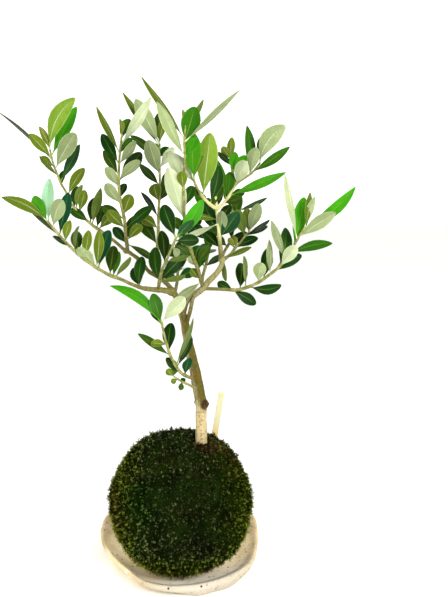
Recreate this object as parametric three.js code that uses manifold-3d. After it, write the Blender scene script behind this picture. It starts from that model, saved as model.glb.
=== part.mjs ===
// A small olive tree grown as a moss ball plant: its roots are in a ball of soil wrapped in moss,
// and the ball rests in a shallow hand-formed clay dish. Millimetres, +Z up, viewed along +Y.
// The origin is the centre of the dish's flat foot. All that stands in the dish is set out from a
// point of its own, which lies a little to the right and front in the dish.
import * as THREE from "three";
import { mergeVertices } from "three/addons/utils/BufferGeometryUtils.js";
import Module from "manifold-3d";

const wasm = await Module();
wasm.setup();

// Driving dimensions
const BALL_RADIUS = 60;
const BALL_CENTRE = new THREE.Vector3(0, -15, 64);
const BALL_FLAT_BELOW = 56.7;
const MOSS_THICKNESS = 10;
const MOSS_LUMP = 0.9;
const TALLER_ABOVE = 1.045;
const SEAT_GAP = 0.3;
const PLANTED_AT = new THREE.Vector3(4, -16, 0);
const DISH_FLOOR = 7;
const DISH_RIM = 16.5;
const DISH_BACK_RISE = 4.5;
const DISH_RIM_WAVE = 0.8;
const STAKE_WIDTH = 5.4;
const STAKE_THICKNESS = 1.6;
const STAKE_LENGTH = 64;
const BLADE_HALF_THICKNESS = 0.66;
const SLIVER = 0.05;

// Small steady draws between 0 and 1, the same on every run
function draw(number) {
  const wave = Math.sin(number * 12.9898) * 43758.5453;
  return wave - Math.floor(wave);
}

function point([x, y, z]) {
  return new THREE.Vector3(x, y, z);
}

// The value at a share u of an evenly spaced list
function along(list, u) {
  const place = Math.min(u, 1) * (list.length - 1);
  const below = Math.min(Math.floor(place), list.length - 2);
  return THREE.MathUtils.lerp(list[below], list[below + 1], place - below);
}

// Solids: a closed mesh becomes one that can be joined and cut, and goes back to a mesh
function solidOf(geometry) {
  const bare = new THREE.BufferGeometry();
  bare.setAttribute("position", geometry.getAttribute("position"));
  bare.setIndex(geometry.index);
  const merged = mergeVertices(bare, 1e-4);
  const mesh = new wasm.Mesh({
    numProp: 3,
    vertProperties: merged.getAttribute("position").array,
    triVerts: new Uint32Array(merged.index.array),
  });
  return new wasm.Manifold(mesh);
}

function geometryOf(solid) {
  const mesh = solid.getMesh();
  const geometry = new THREE.BufferGeometry();
  const positions = new THREE.BufferAttribute(mesh.vertProperties, 3);
  geometry.setAttribute("position", positions);
  geometry.setIndex(new THREE.BufferAttribute(mesh.triVerts, 1));
  return geometry;
}

function joined(solids) {
  return solids.reduce((whole, piece) => whole.add(piece));
}

// A join leaves slivers, and a cut can leave a crumb on the far side: only the main body is kept
function mainBody(solid) {
  const bodies = solid.asOriginal().simplify(SLIVER).decompose();
  return bodies.reduce((main, body) => (body.volume() > main.volume() ? body : main));
}

// A closed skin over rings of points, with a point to close each end. The rings run round
// their own line of travel, and the faces' diagonals lie alike on both sides of a flat blade.
function loft(rings, start, end) {
  const sides = rings[0].length;
  const points = [start, ...rings.flat(), end];
  const last = points.length - 1;
  const faces = [];
  for (let j = 0; j < sides; j++) {
    const k = (j + 1) % sides;
    const top = 1 + (rings.length - 1) * sides;
    faces.push(0, 1 + k, 1 + j);
    faces.push(last, top + j, top + k);
    for (let i = 0; i + 1 < rings.length; i++) {
      const low = 1 + i * sides;
      const high = low + sides;
      if (j % 2 === 0) {
        faces.push(low + j, low + k, high + k, low + j, high + k, high + j);
      } else {
        faces.push(low + j, low + k, high + j, low + k, high + k, high + j);
      }
    }
  }
  const geometry = new THREE.BufferGeometry().setFromPoints(points);
  geometry.setIndex(faces);
  return geometry;
}

function smoothCurve(path, closed = false) {
  return new THREE.CatmullRomCurve3(path.map(point), closed, "centripetal");
}

// A round stem along a smooth line, its radius read from an evenly spaced list
function stemSolid({ path, radii, sides = 5, steps = path.length }, extra = 0) {
  const curve = smoothCurve(path);
  const frames = curve.computeFrenetFrames(steps);
  const rings = [];
  for (let i = 0; i <= steps; i++) {
    const centre = curve.getPointAt(i / steps);
    const radius = along(radii, i / steps) + extra;
    const ring = [];
    for (let j = 0; j < sides; j++) {
      const turn = (2 * Math.PI * j) / sides;
      const spot = centre.clone();
      spot.addScaledVector(frames.normals[i], radius * Math.cos(turn));
      spot.addScaledVector(frames.binormals[i], radius * Math.sin(turn));
      ring.push(spot);
    }
    rings.push(ring);
  }
  return solidOf(loft(rings, curve.getPointAt(0), curve.getPointAt(1)));
}

function knotSolid({ centre, radius }, extra = 0) {
  const knot = new THREE.SphereGeometry(radius + extra, 8, 6);
  return solidOf(knot.translate(...centre));
}

// The olive leaf: a lance-shaped blade folded a little along its rib, that arches outwards.
// Each station is a share of the length, and the share of the full width there.
const LONG_BLADE = [
  [0, 0.17],
  [0.2, 0.62],
  [0.5, 1],
  [0.82, 0.62],
];
const SHORT_BLADE = [
  [0, 0.2],
  [0.36, 0.95],
  [0.74, 0.8],
];
const SHORT_BLADE_LENGTH = 24;
const BLADE_FOLD = 0.2;
const BLADE_WIDENING = 1.12;
const BLADE_ROOT_DEPTH = 0.4;
const LEAST_ARCH = 0.03;
const MOST_ARCH = 0.1;
// A blade's upper face looks towards the stem's tip, and turns to the front on a leaf that reaches
// back. Every blade then turns one face further to the light at the front, but for the few whose
// angle from the front is given, which are seen nearly edge on.
const FACING_RATE = 1.7;
const MOST_FACING = 0.8;
const FURTHER_FACING = 0.9;
const FRONT = new THREE.Vector3(0, -1, 0.12);

function upperOf(onward, stemDirection, fromFront) {
  const front = FRONT.clone().addScaledVector(onward, -FRONT.dot(onward)).normalize();
  if (fromFront !== undefined) {
    return front.applyAxisAngle(onward, THREE.MathUtils.degToRad(fromFront));
  }
  const facing = THREE.MathUtils.clamp(FACING_RATE * onward.y, -MOST_FACING, MOST_FACING);
  const upper = stemDirection.clone().multiplyScalar(1 - Math.abs(facing));
  upper.y -= facing;
  upper.addScaledVector(onward, -upper.dot(onward)).normalize();
  return upper.addScaledVector(front, FURTHER_FACING * Math.sign(upper.dot(front))).normalize();
}

function bladeSolid(base, reach, upper, width, bow, drawNumber) {
  const length = reach.length();
  const onward = reach.clone().normalize();
  const side = new THREE.Vector3().crossVectors(onward, upper);
  const bend = new THREE.Vector3().crossVectors(FRONT, onward).setLength(bow);
  bend.addScaledVector(upper, length * THREE.MathUtils.lerp(LEAST_ARCH, MOST_ARCH, draw(drawNumber)));
  const stations = length < SHORT_BLADE_LENGTH ? SHORT_BLADE : LONG_BLADE;
  const rings = stations.map(([share, fullness]) => {
    const half = (BLADE_WIDENING * width / 2) * fullness;
    const rib = base.clone().addScaledVector(onward, share * length);
    rib.addScaledVector(bend, 4 * share * (1 - share));
    const edge = rib.clone().addScaledVector(upper, BLADE_FOLD * half);
    return [
      rib.clone().addScaledVector(upper, BLADE_HALF_THICKNESS),
      edge.clone().addScaledVector(side, half),
      rib.clone().addScaledVector(upper, -BLADE_HALF_THICKNESS),
      edge.clone().addScaledVector(side, -half),
    ];
  });
  const root = base.clone().addScaledVector(onward, -BLADE_ROOT_DEPTH);
  return solidOf(loft(rings, root, base.clone().add(reach)));
}

// The woody frame: paths in millimetres, radii evenly spaced from the start of each path
const TRUNK = {
  path: [
    [16, -20, 92], [17.2, -22, 106], [17.4, -23, 120], [17.2, -23, 137], [17.2, -23, 151],
    [15.2, -22, 162], [12.2, -20, 178], [8.6, -17, 192], [6, -13, 204], [3.5, -11, 217], [0.5, -9, 227],
  ],
  radii: [3, 4.4, 4.8, 4.5, 4.7, 4.6, 4.3, 3.9, 3.5, 3.1],
  sides: 9,
  steps: 13,
};
const LIMBS = [
  {
    path: [
      [2, -10, 222], [-1.5, -8, 233], [-6, -8, 239.5], [-12, -10, 241], [-20, -12, 242],
      [-29, -14.5, 243.5],
    ],
    radii: [2.9, 2.8, 2.3, 1.9],
    sides: 7,
  },
  {
    path: [
      [-4, -8, 238], [-9, -4, 244], [-17, 0, 250], [-26, 4, 255], [-32, 8, 262], [-40, 11, 268],
      [-46, 12.5, 272],
    ],
    radii: [2.0, 1.8, 1.6, 1.5],
    sides: 7,
  },
  {
    path: [
      [2, -10, 222], [5.5, -8, 232.5], [13, -7, 238], [19, -6, 242.5], [23, -5, 247.5], [29, -4, 253.5],
      [33.5, -3, 260], [34.5, -2, 266],
    ],
    radii: [2.9, 2.7, 2.4, 2.0],
    sides: 7,
  },
  {
    path: [[4.5, -12, 212], [7.5, -14, 221], [9.2, -14.5, 228], [10.5, -12, 234], [14, -8, 238.5]],
    radii: [1.8, 1.6, 1.6],
  },
];
const KNOTS = [
  { centre: [19.4, -25, 151], radius: 4.1 },
  { centre: [-6.5, -8, 240], radius: 3.8 },
  { centre: [-45, 12, 271], radius: 2.8 },
  { centre: [19.5, -6, 242.5], radius: 2.7 },
  { centre: [34, -2, 265], radius: 2.9 },
];

function woodSolid(extra = 0) {
  return joined([
    stemSolid(TRUNK, extra),
    ...LIMBS.map((limb) => stemSolid(limb, extra)),
    ...KNOTS.map((knot) => knotSolid(knot, extra)),
  ]);
}

// The leafy shoots. Each twig has the path of its stem, and its leaves as rows of: place along
// the stem (0 to 1), reach from there across, back and up, and width, all in millimetres; then for
// some their angle from the front, and how far they bow to the left of the way they point.
const SHOOTS = [
  {
    name: "shoot_lower_left",
    twigs: [
      {
        path: [
          [-28, -14, 243], [-37, -18, 247], [-46, -22, 252], [-53, -25, 255], [-62, -29, 261],
          [-71, -33, 268],
          [-79, -37, 276], [-86, -40, 284], [-94, -44, 295], [-97, -45, 299],
        ],
        leaves: [
          [0.04, -5, 8, 15, 9], [0.05, 2, 12, 23, 8], [0.29, 4, 8, 19, 6], [0.27, 13, -8, 17, 7, 58],
          [0.32, 2, 12, 22, 9], [0.43, 7, 14, 29, 10], [0.45, 4, -10, 30, 7], [0.45, -13, -10, 16, 8],
          [0.48, -6, 5, 11, 6], [0.57, 5, -8, 23, 7], [0.64, -3, 10, 17, 8], [0.67, 4, -2, 20, 7],
          [0.73, -12, -4, 8, 7, 66], [0.78, 5, -6, 17, 6], [0.85, 5, 14, 32, 9], [0.84, -24, 2, 20, 8, 68],
          [0.93, 10, -14, 22, 10], [0.98, -1, 12, 33, 9], [0.99, -12, 8, 19, 9], [1, -33, -3, 18, 8, 25, -3],
        ],
      },
    ],
  },
  {
    name: "shoot_upper_left",
    twigs: [
      {
        path: [
          [-46, 12.5, 271], [-53, 15, 277], [-66, 20, 286], [-75, 23, 292], [-86, 26, 302], [-92, 28, 309],
          [-96, 29, 318], [-100, 29, 325], [-103, 29, 333], [-106, 28, 342], [-108, 27, 353],
        ],
        leaves: [
          [0.27, 15, -10, 15, 8], [0.29, 4, 10, 18, 7], [0.33, 9, -8, 31, 7], [0.35, 3, 12, 21, 8],
          [0.36, -17, 4, 11, 7], [0.47, 6, -5, 19, 7], [0.52, 1, 9, 18, 7], [0.5, 5, 3, 21, 6],
          [0.63, 16, -10, 23, 8], [0.72, 0, 8, 12, 5], [0.75, 15, 12, 31, 9], [0.79, -14, -5, 17, 7, 62],
          [0.85, 20, -16, 29, 12], [0.87, -13, 7, 8, 6], [0.93, -43, 2, 38, 9, 74], [0.94, -16, -8, 19, 8],
          [0.95, 20, 12, 41, 11], [1, 24, -14, 41, 12, 8, 5], [1, -9, 3, 19, 5],
        ],
      },
    ],
  },
  {
    name: "shoot_left_inner",
    twigs: [
      {
        path: [
          [-43.5, 11, 272], [-44.5, 8.5, 283], [-45, 5, 297], [-47, 2, 309], [-48, -1, 319], [-48, -3, 329],
          [-47, -6, 341], [-46, -8, 351], [-44, -11, 363],
        ],
        leaves: [
          [0.05, -12, 9, 13, 7], [0.05, 28, -8, -14, 8], [0.08, 14, -12, 14, 7], [0.08, 7, 13, 20, 7],
          [0.19, -13, -10, 15, 8], [0.19, 22, 4, 18, 8], [0.28, -18, 6, 10, 8], [0.31, 7, -8, 17, 9],
          [0.41, -10, -13, 17, 8], [0.46, 3, 10, 12, 6], [0.56, -9, -9, 16, 7], [0.61, 17, 13, 23, 10],
          [0.63, 18, -12, 15, 8, 40], [0.67, -12, 3, 19, 8], [0.76, -15, 13, 24, 8], [0.76, 14, -9, 18, 7, 42],
          [0.85, -17, -3, 36, 9, 62], [0.85, 9, 7, 12, 6], [0.92, 24, 4, 37, 8, 35], [0.96, 6, 8, 17, 7],
          [1, -1, -3, 13, 3], [1, 1, 3, 12, 3],
        ],
      },
    ],
  },
  {
    name: "shoot_left_centre",
    twigs: [
      {
        path: [
          [-20, 1, 251], [-19, 7, 262], [-19, 14, 277], [-18.6, 19, 291], [-18.4, 22, 305], [-17.6, 25, 320],
          [-17.6, 27, 335], [-17.6, 28, 346], [-17.6, 29, 358],
        ],
        leaves: [
          [0.24, -18, 15, 21, 9], [0.37, -13, -12, 10, 8], [0.45, -15, 9, 21, 7, 58], [0.57, -3, -13, 15, 9],
          [0.57, 7, 10, 14, 7], [0.69, -16, -3, 18, 8], [0.67, 9, 4, 14, 7], [0.77, -8, -16, 28, 11, 10],
          [0.88, -24, 3, 20, 9], [0.88, -7, 18, 14, 9], [0.98, -30, 2, 44, 9, 50], [1, -18, -14, 35, 11, 10],
          [1, -1, 12, 26, 8], [1, 5, -6, 21, 6], [0.9, 8, -2, 8, 7], [0.82, 12, -5, 17, 7, 20],
        ],
      },
    ],
  },
  {
    name: "shoot_centre",
    twigs: [
      {
        path: [
          [18.5, -7, 244], [17, -10, 250], [15, -16, 259], [12, -22, 268], [10, -27, 276], [7, -35, 288],
          [6, -42, 300], [6, -49, 315], [6, -53, 330], [7, -56, 344], [7, -58, 357], [8, -60, 368],
        ],
        leaves: [
          [0.03, -20, -12, -13, 8, 45], [0.12, 5, 4, 21, 9], [0.15, -6, -7, 9, 5], [0.17, 11, 3, 14, 7],
          [0.26, -9, -5, 13, 6], [0.47, -11, -18, 41, 13], [0.56, 6, 14, 16, 7], [0.66, -1, -12, 14, 7],
          [0.71, -11, 6, 22, 7], [0.84, -19, -12, 39, 9, 38], [0.84, 9, 10, 14, 7], [0.91, 8, -4, 26, 12, 5],
          [0.92, 40, -8, 36, 8, 67], [0.93, -31, 3, 45, 9, 56], [0.99, 13, 7, 21, 6, 60], [1, -2, -2, 12, 3],
          [1, 1, 2, 12, 3], [0.05, -8, -7, 9, 6],
        ],
      },
    ],
  },
  {
    name: "shoot_front",
    twigs: [
      {
        path: [
          [-17, -11, 242], [-15, -20, 251], [-12, -31, 261], [-8, -39, 269], [-4, -47, 278],
          [0, -54, 287],
        ],
        leaves: [
          [0.14, -4, 13, 27, 9], [0.16, 21, 10, 21, 10], [0.16, 21, -6, 6, 7, 54], [0.53, -3, 12, 25, 8],
          [0.58, 17, -8, 6, 7, 56], [0.86, 5, -9, -6, 5], [0.9, 12, 2, -8, 6], [0.95, 18, 6, 0, 8],
          [0.97, 14, -5, 15, 7], [1, -10, 12, 24, 10], [1, 20, 8, 28, 9],
        ],
      },
    ],
  },
  {
    name: "shoot_leader",
    twigs: [
      {
        path: [
          [33, -2.8, 266], [32.8, -3.8, 275], [32, -5, 283], [31, -7, 296], [30, -8, 306],
          [29, -9, 316],
        ],
        radii: [1.6, 1.3, 1.0],
        leaves: [
          [0.16, -14, 10, 13, 8], [0.34, 15, -5, 21, 12, 20], [0.34, 2, -12, 22, 8], [0.55, 10, 12, 15, 7],
          [0.56, -29, -12, -11, 8, 56], [0.38, -12, 7, 26, 9], [0.63, -19, -3, 4, 7, 52],
        ],
      },
      {
        path: [[30, -8, 306], [26, -13, 309], [21, -20, 314], [17, -28, 320], [14, -34, 326], [13, -38, 330]],
        leaves: [
          [0.11, 7, 9, 16, 7], [0.23, 7, 14, 30, 9], [0.5, 6, -16, 48, 14, 8], [0.55, -11, -9, 6, 6],
          [0.86, -22, -10, 24, 9], [0.99, -1, -8, 35, 12, 12], [0.99, 7, 9, 29, 8],
        ],
      },
      {
        path: [
          [30, -8, 306], [34, -5, 309], [38, -1, 313], [42, 3, 320], [45, 6, 325], [49, 9, 328],
          [58, 14, 334], [65, 17, 342],
        ],
        leaves: [
          [0.15, 14, -12, 4, 7], [0.21, -7, 10, 32, 7], [0.25, 2, 11, 21, 8], [0.29, 46, 5, 19, 9, 42],
          [0.27, 13, 10, 4, 6], [0.5, 7, -11, 19, 10], [0.77, -2, 13, 40, 8], [0.79, 4, -11, 21, 9],
          [0.82, 31, 5, 21, 8, 40], [1, 5, 10, 24, 8], [1, 19, -12, 30, 13, 12, 4],
        ],
      },
      {
        path: [[45, 6, 325], [43, 12, 333], [42, 16, 339], [42, 19, 345]],
        leaves: [
          [0.48, 2, 8, 17, 7], [0.48, 11, -4, 14, 7], [0.73, -12, 2, 12, 7], [1, -8, -6, 10, 6],
          [1, 0, 3, 18, 6],
        ],
      },
    ],
  },
  {
    name: "shoot_right_inner",
    twigs: [
      {
        path: [[35, -2.3, 265], [41, 0.5, 269], [45, 5, 274], [49, 7, 278], [52, 9, 282], [56, 11, 286]],
        leaves: [
          [0.06, 21, -8, 10, 7, 58], [0.45, 19, 8, 8, 7], [0.45, -5, -6, 9, 4], [0.47, -1, 5, 9, 4],
          [0.87, 18, -6, 9, 7, 60], [0.97, 18, 3, 11, 7, 60], [1, 8, -9, 24, 9, 15],
          [1, -2, -3, 20, 8, 15], [0.86, -7, -3, 22, 9, 10], [0.02, 2, -6, -17, 6, 58],
        ],
      },
    ],
  },
  {
    name: "shoot_right",
    twigs: [
      {
        path: [
          [20.5, -6.5, 242], [28, -8, 242], [37, -11, 242], [46, -14, 242], [55, -17, 245], [63, -20, 249],
          [72, -23, 256], [79, -25, 262], [85, -27, 270], [89, -28, 277], [93, -29, 285], [98, -30, 293],
        ],
        leaves: [
          [0.23, -13, 7, 5, 7], [0.22, 19, 3, -12, 8], [0.28, 1, 12, 20, 9], [0.33, -2, -6, 26, 8, 66],
          [0.36, 26, 6, 0, 8, 20, -3], [0.44, 1, -10, 17, 9], [0.49, 4, 12, 23, 9], [0.55, -1, -8, 28, 7, 45],
          [0.58, 23, 6, 13, 8], [0.64, 6, 13, 30, 10], [0.65, 11, -14, 18, 9], [0.72, -12, -10, 31, 8, 42],
          [0.77, 34, 4, 8, 8, 35, 3], [0.83, 9, 13, 38, 11], [0.89, -11, -12, 51, 9, 55], [0.91, 27, -11, 20, 9],
          [0.99, 40, 7, 32, 9, 25, -3], [1, 4, 4, 27, 5], [1, 7, -4, 24, 5],
        ],
      },
    ],
  },
  {
    name: "shoot_back_centre",
    twigs: [
      {
        path: [[18, -6, 241], [18, 8, 249], [21, 22, 260], [23, 34, 273], [24, 43, 286], [23, 49, 299]],
        leaves: [
          [0.35, -14, 8, 12, 8], [0.35, 16, 4, 10, 8], [0.52, 3, -4, 24, 8], [0.52, 2, 22, 2, 8],
          [0.68, -18, 10, 14, 9], [0.68, 14, 9, 19, 9], [0.84, 0, 20, 10, 8], [0.84, -2, 2, 26, 8],
          [1, -12, 12, 20, 8], [1, 10, 12, 22, 8],
        ],
      },
    ],
  },
  {
    name: "shoot_back_right",
    twigs: [
      {
        path: [[33.5, -0.2, 264.5], [36, 12, 270], [42, 25, 280], [44, 36, 290], [46, 44, 301]],
        leaves: [
          [0.35, -10, 14, 6, 7], [0.35, 16, -2, 12, 7], [0.5, 2, 18, 2, 8], [0.5, 0, -2, 22, 8],
          [0.7, 20, 4, 12, 8], [0.7, 3, 19, 8, 8], [0.86, 2, 4, 16, 9, 10], [0.86, 4, -2, 24, 8],
          [1, 27, 5, 12, 7, 66], [1, -8, 14, 22, 8],
        ],
      },
    ],
  },
  {
    name: "shoot_back_left",
    twigs: [
      {
        path: [[-4, -8, 238], [-3, 8, 245], [-3, 24, 252], [-1, 40, 261], [2, 53, 270], [3, 63, 280]],
        leaves: [
          [0.3, -14, 8, 4, 8], [0.3, 14, 10, 4, 8], [0.48, 0, 4, 22, 8], [0.48, 0, 22, -4, 8],
          [0.65, -18, 12, 10, 9], [0.65, 18, 12, 8, 9], [0.82, 0, 22, 2, 8], [0.82, 0, 4, 26, 9],
          [1, -14, 16, 14, 8], [1, 12, 18, 16, 8],
        ],
      },
    ],
  },
  {
    name: "shoot_trunk",
    twigs: [
      {
        path: [
          [14, -21, 172], [9, -25, 173], [5, -30, 176], [2, -34, 179], [-2, -38, 186], [-6, -41, 195],
          [-9, -43, 206], [-11, -44, 215], [-12, -45, 222],
        ],
        leaves: [
          [0.21, 4, -7, 16, 7], [0.31, -11, -2, 12, 6], [0.4, 12, 8, 22, 7, 50], [0.42, 14, -5, 39, 8, 60],
          [0.57, -25, -2, 18, 7, 50], [0.61, 1, 9, 22, 9], [0.72, -12, -6, 2, 6], [0.95, -8, 12, 16, 7],
          [0.96, -40, 3, 30, 8, 30, -6], [1, 18, -11, 21, 10], [1, -7, 6, 21, 9],
        ],
      },
    ],
  },
  {
    name: "twig_trunk",
    twigs: [
      {
        path: [[16, -22, 164], [12, -26, 165], [8, -29, 168], [2, -33, 172], [-4, -36, 177]],
        radii: [1.0, 0.8, 0.6],
        leaves: [
          [0.55, -3, -3, 5, 4], [0.68, -1, -4, -6, 4], [0.84, -5, -3, -2, 4], [1, 1, 3, 7, 5],
          [1, -5, -2, 6, 5],
        ],
      },
    ],
  },
];
const STEM_RADII = [1.3, 1.1, 0.9, 0.7];
const DRAWS_PER_SHOOT = 100;
const DRAWS_PER_TWIG = 25;

function twigSolids({ path, radii = STEM_RADII, leaves }, firstDraw) {
  const curve = smoothCurve(path);
  const blades = leaves.map(([place, x, y, z, width, fromFront, bow = 0], i) => {
    const reach = new THREE.Vector3(x, y, z);
    const upper = upperOf(reach.clone().normalize(), curve.getTangentAt(place), fromFront);
    return bladeSolid(curve.getPointAt(place), reach, upper, width, bow, firstDraw + i);
  });
  return [stemSolid({ path, radii }), ...blades];
}

function shootSolid(shoot, shootNumber) {
  const firstDraw = shootNumber * DRAWS_PER_SHOOT;
  const pieces = shoot.twigs.flatMap((twig, i) => twigSolids(twig, firstDraw + i * DRAWS_PER_TWIG));
  return mainBody(joined(pieces).subtract(woodSolid(SEAT_GAP)));
}

// The ball: low lumps on a sphere, a little taller above, and flat where it rests
function lumpyBall(radius, lump, across, up) {
  const ball = new THREE.SphereGeometry(radius, across, up).rotateX(Math.PI / 2);
  const places = ball.getAttribute("position");
  const spot = new THREE.Vector3();
  for (let i = 0; i < places.count; i++) {
    spot.fromBufferAttribute(places, i).divideScalar(radius);
    const swell =
      Math.sin(5 * spot.x + 1.3) * Math.sin(4 * spot.z + 0.4) +
      0.7 * Math.sin(7 * spot.y + 3 * spot.x) * Math.sin(6 * spot.z - 2 * spot.y);
    spot.multiplyScalar(radius + lump * swell);
    spot.z = Math.max(spot.z > 0 ? TALLER_ABOVE * spot.z : spot.z, -BALL_FLAT_BELOW);
    places.setXYZ(i, spot.x, spot.y, spot.z);
  }
  return solidOf(ball.translate(...BALL_CENTRE));
}

// The soil: a ball with a low collar that comes up through the moss round the trunk's foot
const SOIL_COLLAR = { x: 20, y: -25, bottom: 99, top: 118.5, radius: 10.5, foot: 12.5 };
const MOSS_OPENING_TOP = 135;

function soilSolid(extra = 0, top = SOIL_COLLAR.top) {
  const { x, y, bottom, radius, foot } = SOIL_COLLAR;
  const height = top - bottom;
  const collar = new THREE.CylinderGeometry(radius + extra, foot + extra, height, 14);
  collar.rotateX(Math.PI / 2).translate(x, y, bottom + height / 2);
  const ball = lumpyBall(BALL_RADIUS - MOSS_THICKNESS + extra, 0, 16, 12);
  return ball.add(solidOf(collar));
}

// The moss: a skin round the soil, open where the trunk comes up and where the stake goes in
function mossSolid() {
  const skin = lumpyBall(BALL_RADIUS, MOSS_LUMP, 28, 20);
  const opened = skin.subtract(soilSolid(SEAT_GAP, MOSS_OPENING_TOP));
  return mainBody(opened.subtract(stakeSolid(SEAT_GAP)));
}

// The label stake: a flat strip with a pointed foot, leaning a little to the right and back
const STAKE_FOOT = new THREE.Vector3(23.4, 11, 87);
const STAKE_POINT = 8;
const STAKE_LEAN_RIGHT = THREE.MathUtils.degToRad(9.4);
const STAKE_LEAN_BACK = THREE.MathUtils.degToRad(3);

function stakeSolid(extra = 0) {
  const half = STAKE_WIDTH / 2 + extra;
  const thickness = STAKE_THICKNESS + 2 * extra;
  const outline = new THREE.Shape();
  outline.moveTo(0, -extra);
  outline.lineTo(half, STAKE_POINT);
  outline.lineTo(half, STAKE_LENGTH + extra);
  outline.lineTo(-half, STAKE_LENGTH + extra);
  outline.lineTo(-half, STAKE_POINT);
  outline.closePath();
  const strip = new THREE.ExtrudeGeometry(outline, { depth: thickness, bevelEnabled: false });
  strip.translate(0, 0, -thickness / 2).rotateX(Math.PI / 2);
  strip.rotateX(-STAKE_LEAN_BACK).rotateY(STAKE_LEAN_RIGHT);
  return solidOf(strip.translate(...STAKE_FOOT));
}

// The dish, as the hand left it: the outer edges of its foot and of its rim, and rings that run
// from the foot round to the floor. A ring lies a share of the way from the foot's edge to the
// rim's, and is then scaled. The rim rises to the back, and takes a slow wave.
const FOOT_EDGE = [
  [64, 14], [62, 42], [50, 60], [24, 68], [-16, 68], [-46, 60], [-60, 42], [-62, 18], [-58, -4],
  [-46, -22], [-32, -39], [-16, -52], [4, -62], [18, -67], [31, -61], [44, -53], [57, -30], [62, -10],
];
const RIM_EDGE = [
  [70, 22], [68, 46], [58, 64], [37, 72], [3, 75], [-33, 73], [-58, 66], [-69, 50], [-71, 24],
  [-67, -1], [-58, -22], [-43, -46], [-28, -66], [-11, -75], [9, -76], [27, -71], [46, -59], [62, -38],
  [68, -14],
];
const DISH_RINGS = [
  { way: 0, scale: 1, height: 0, wave: 0 },
  { way: 0.5, scale: 1, height: 4, wave: 0.1 },
  { way: 0.95, scale: 1, height: DISH_RIM - 4.5, wave: 0.8 },
  { way: 1, scale: 1, height: DISH_RIM - 1.8, wave: 1 },
  { way: 1, scale: 0.975, height: DISH_RIM, wave: 1 },
  { way: 1, scale: 0.94, height: DISH_RIM - 0.7, wave: 1 },
  { way: 1, scale: 0.85, height: DISH_RIM - 5, wave: 0.6 },
  { way: 1, scale: 0.76, height: DISH_FLOOR + 1, wave: 0.1 },
  { way: 1, scale: 0.68, height: DISH_FLOOR, wave: 0 },
];
const DISH_STEPS = 40;

function spacedEdge(outline) {
  const edge = smoothCurve(outline.map(([x, y]) => [x, y, 0]), true);
  return edge.getSpacedPoints(DISH_STEPS).slice(0, DISH_STEPS);
}

function dishSolid() {
  const foot = spacedEdge(FOOT_EDGE);
  const rim = spacedEdge(RIM_EDGE);
  const rings = DISH_RINGS.map(({ way, scale, height, wave }) =>
    rim.map((outer, i) => {
      const turn = Math.atan2(outer.y, outer.x);
      const slowWave = Math.sin(3 * turn + 0.6) * 0.6 + Math.sin(5 * turn) * 0.4;
      const lift = DISH_RIM_WAVE * slowWave + DISH_BACK_RISE * Math.sin(turn);
      const spot = foot[i].clone().lerp(outer, way).multiplyScalar(scale);
      return spot.setZ(height + wave * lift);
    }),
  );
  return solidOf(loft(rings, new THREE.Vector3(), new THREE.Vector3(0, 0, DISH_FLOOR)));
}

// Finishes
const CLAY = new THREE.MeshStandardMaterial({ color: 0xcbb893, roughness: 0.85 });
const MOSS = new THREE.MeshStandardMaterial({ color: 0x2c3d14, roughness: 1 });
const SOIL = new THREE.MeshStandardMaterial({ color: 0x35251a, roughness: 1 });
const BARK = new THREE.MeshStandardMaterial({ color: 0xb3a582, roughness: 0.9 });
const LEAF = new THREE.MeshStandardMaterial({ color: 0x4c7a2c, roughness: 0.45 });
const LABEL_WOOD = new THREE.MeshStandardMaterial({ color: 0xeadfae, roughness: 0.7 });

const plant = new THREE.Group();
const planted = new THREE.Group();
planted.position.copy(PLANTED_AT);
plant.add(planted);

function addPiece(group, name, solid, material) {
  const mesh = new THREE.Mesh(geometryOf(solid), material);
  mesh.name = name;
  group.add(mesh);
}

const soil = soilSolid().subtract(woodSolid(SEAT_GAP)).subtract(stakeSolid(SEAT_GAP));

addPiece(plant, "dish", dishSolid(), CLAY);
addPiece(planted, "moss_cover", mossSolid(), MOSS);
addPiece(planted, "soil_ball", mainBody(soil), SOIL);
addPiece(planted, "trunk", mainBody(woodSolid()), BARK);
addPiece(planted, "label_stake", stakeSolid(), LABEL_WOOD);
SHOOTS.forEach((shoot, i) => addPiece(planted, shoot.name, shootSolid(shoot, i + 1), LEAF));

export default plant;
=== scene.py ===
# A small olive tree grown as a moss ball plant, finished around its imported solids.
# Dimensions are in millimetres, in the frame of the solids, and each mesh is made in metres.
import math
from collections import namedtuple

import bmesh
import bpy
import numpy as np
from mathutils import Matrix, Vector, noise


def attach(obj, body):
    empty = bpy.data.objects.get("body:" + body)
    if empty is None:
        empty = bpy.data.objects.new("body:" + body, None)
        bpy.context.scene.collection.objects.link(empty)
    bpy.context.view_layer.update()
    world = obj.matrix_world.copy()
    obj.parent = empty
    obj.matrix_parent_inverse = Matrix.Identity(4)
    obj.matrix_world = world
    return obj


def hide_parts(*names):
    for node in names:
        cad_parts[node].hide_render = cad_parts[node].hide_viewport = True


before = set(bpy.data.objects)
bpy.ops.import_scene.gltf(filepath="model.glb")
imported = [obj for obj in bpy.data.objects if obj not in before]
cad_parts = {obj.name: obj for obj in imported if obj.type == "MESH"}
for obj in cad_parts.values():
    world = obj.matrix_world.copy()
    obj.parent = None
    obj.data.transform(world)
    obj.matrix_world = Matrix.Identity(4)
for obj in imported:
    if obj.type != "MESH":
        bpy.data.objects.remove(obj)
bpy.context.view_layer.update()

bl_info = {
    "name": "Moss Ball Olive Tree",
    "version": (1, 0, 0),
    "blender": (4, 5, 0),
    "location": "3D View > Sidebar > Moss Ball Tree",
    "description": "Makes a small olive tree that grows from a moss ball in a clay dish",
    "category": "Add Mesh",
}

BODY = "root"
MM = 0.001

# Where all that stands in the dish is set out from, in the frame of the dish's foot
PLANTED_AT = Vector((4, -16, 0))

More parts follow.
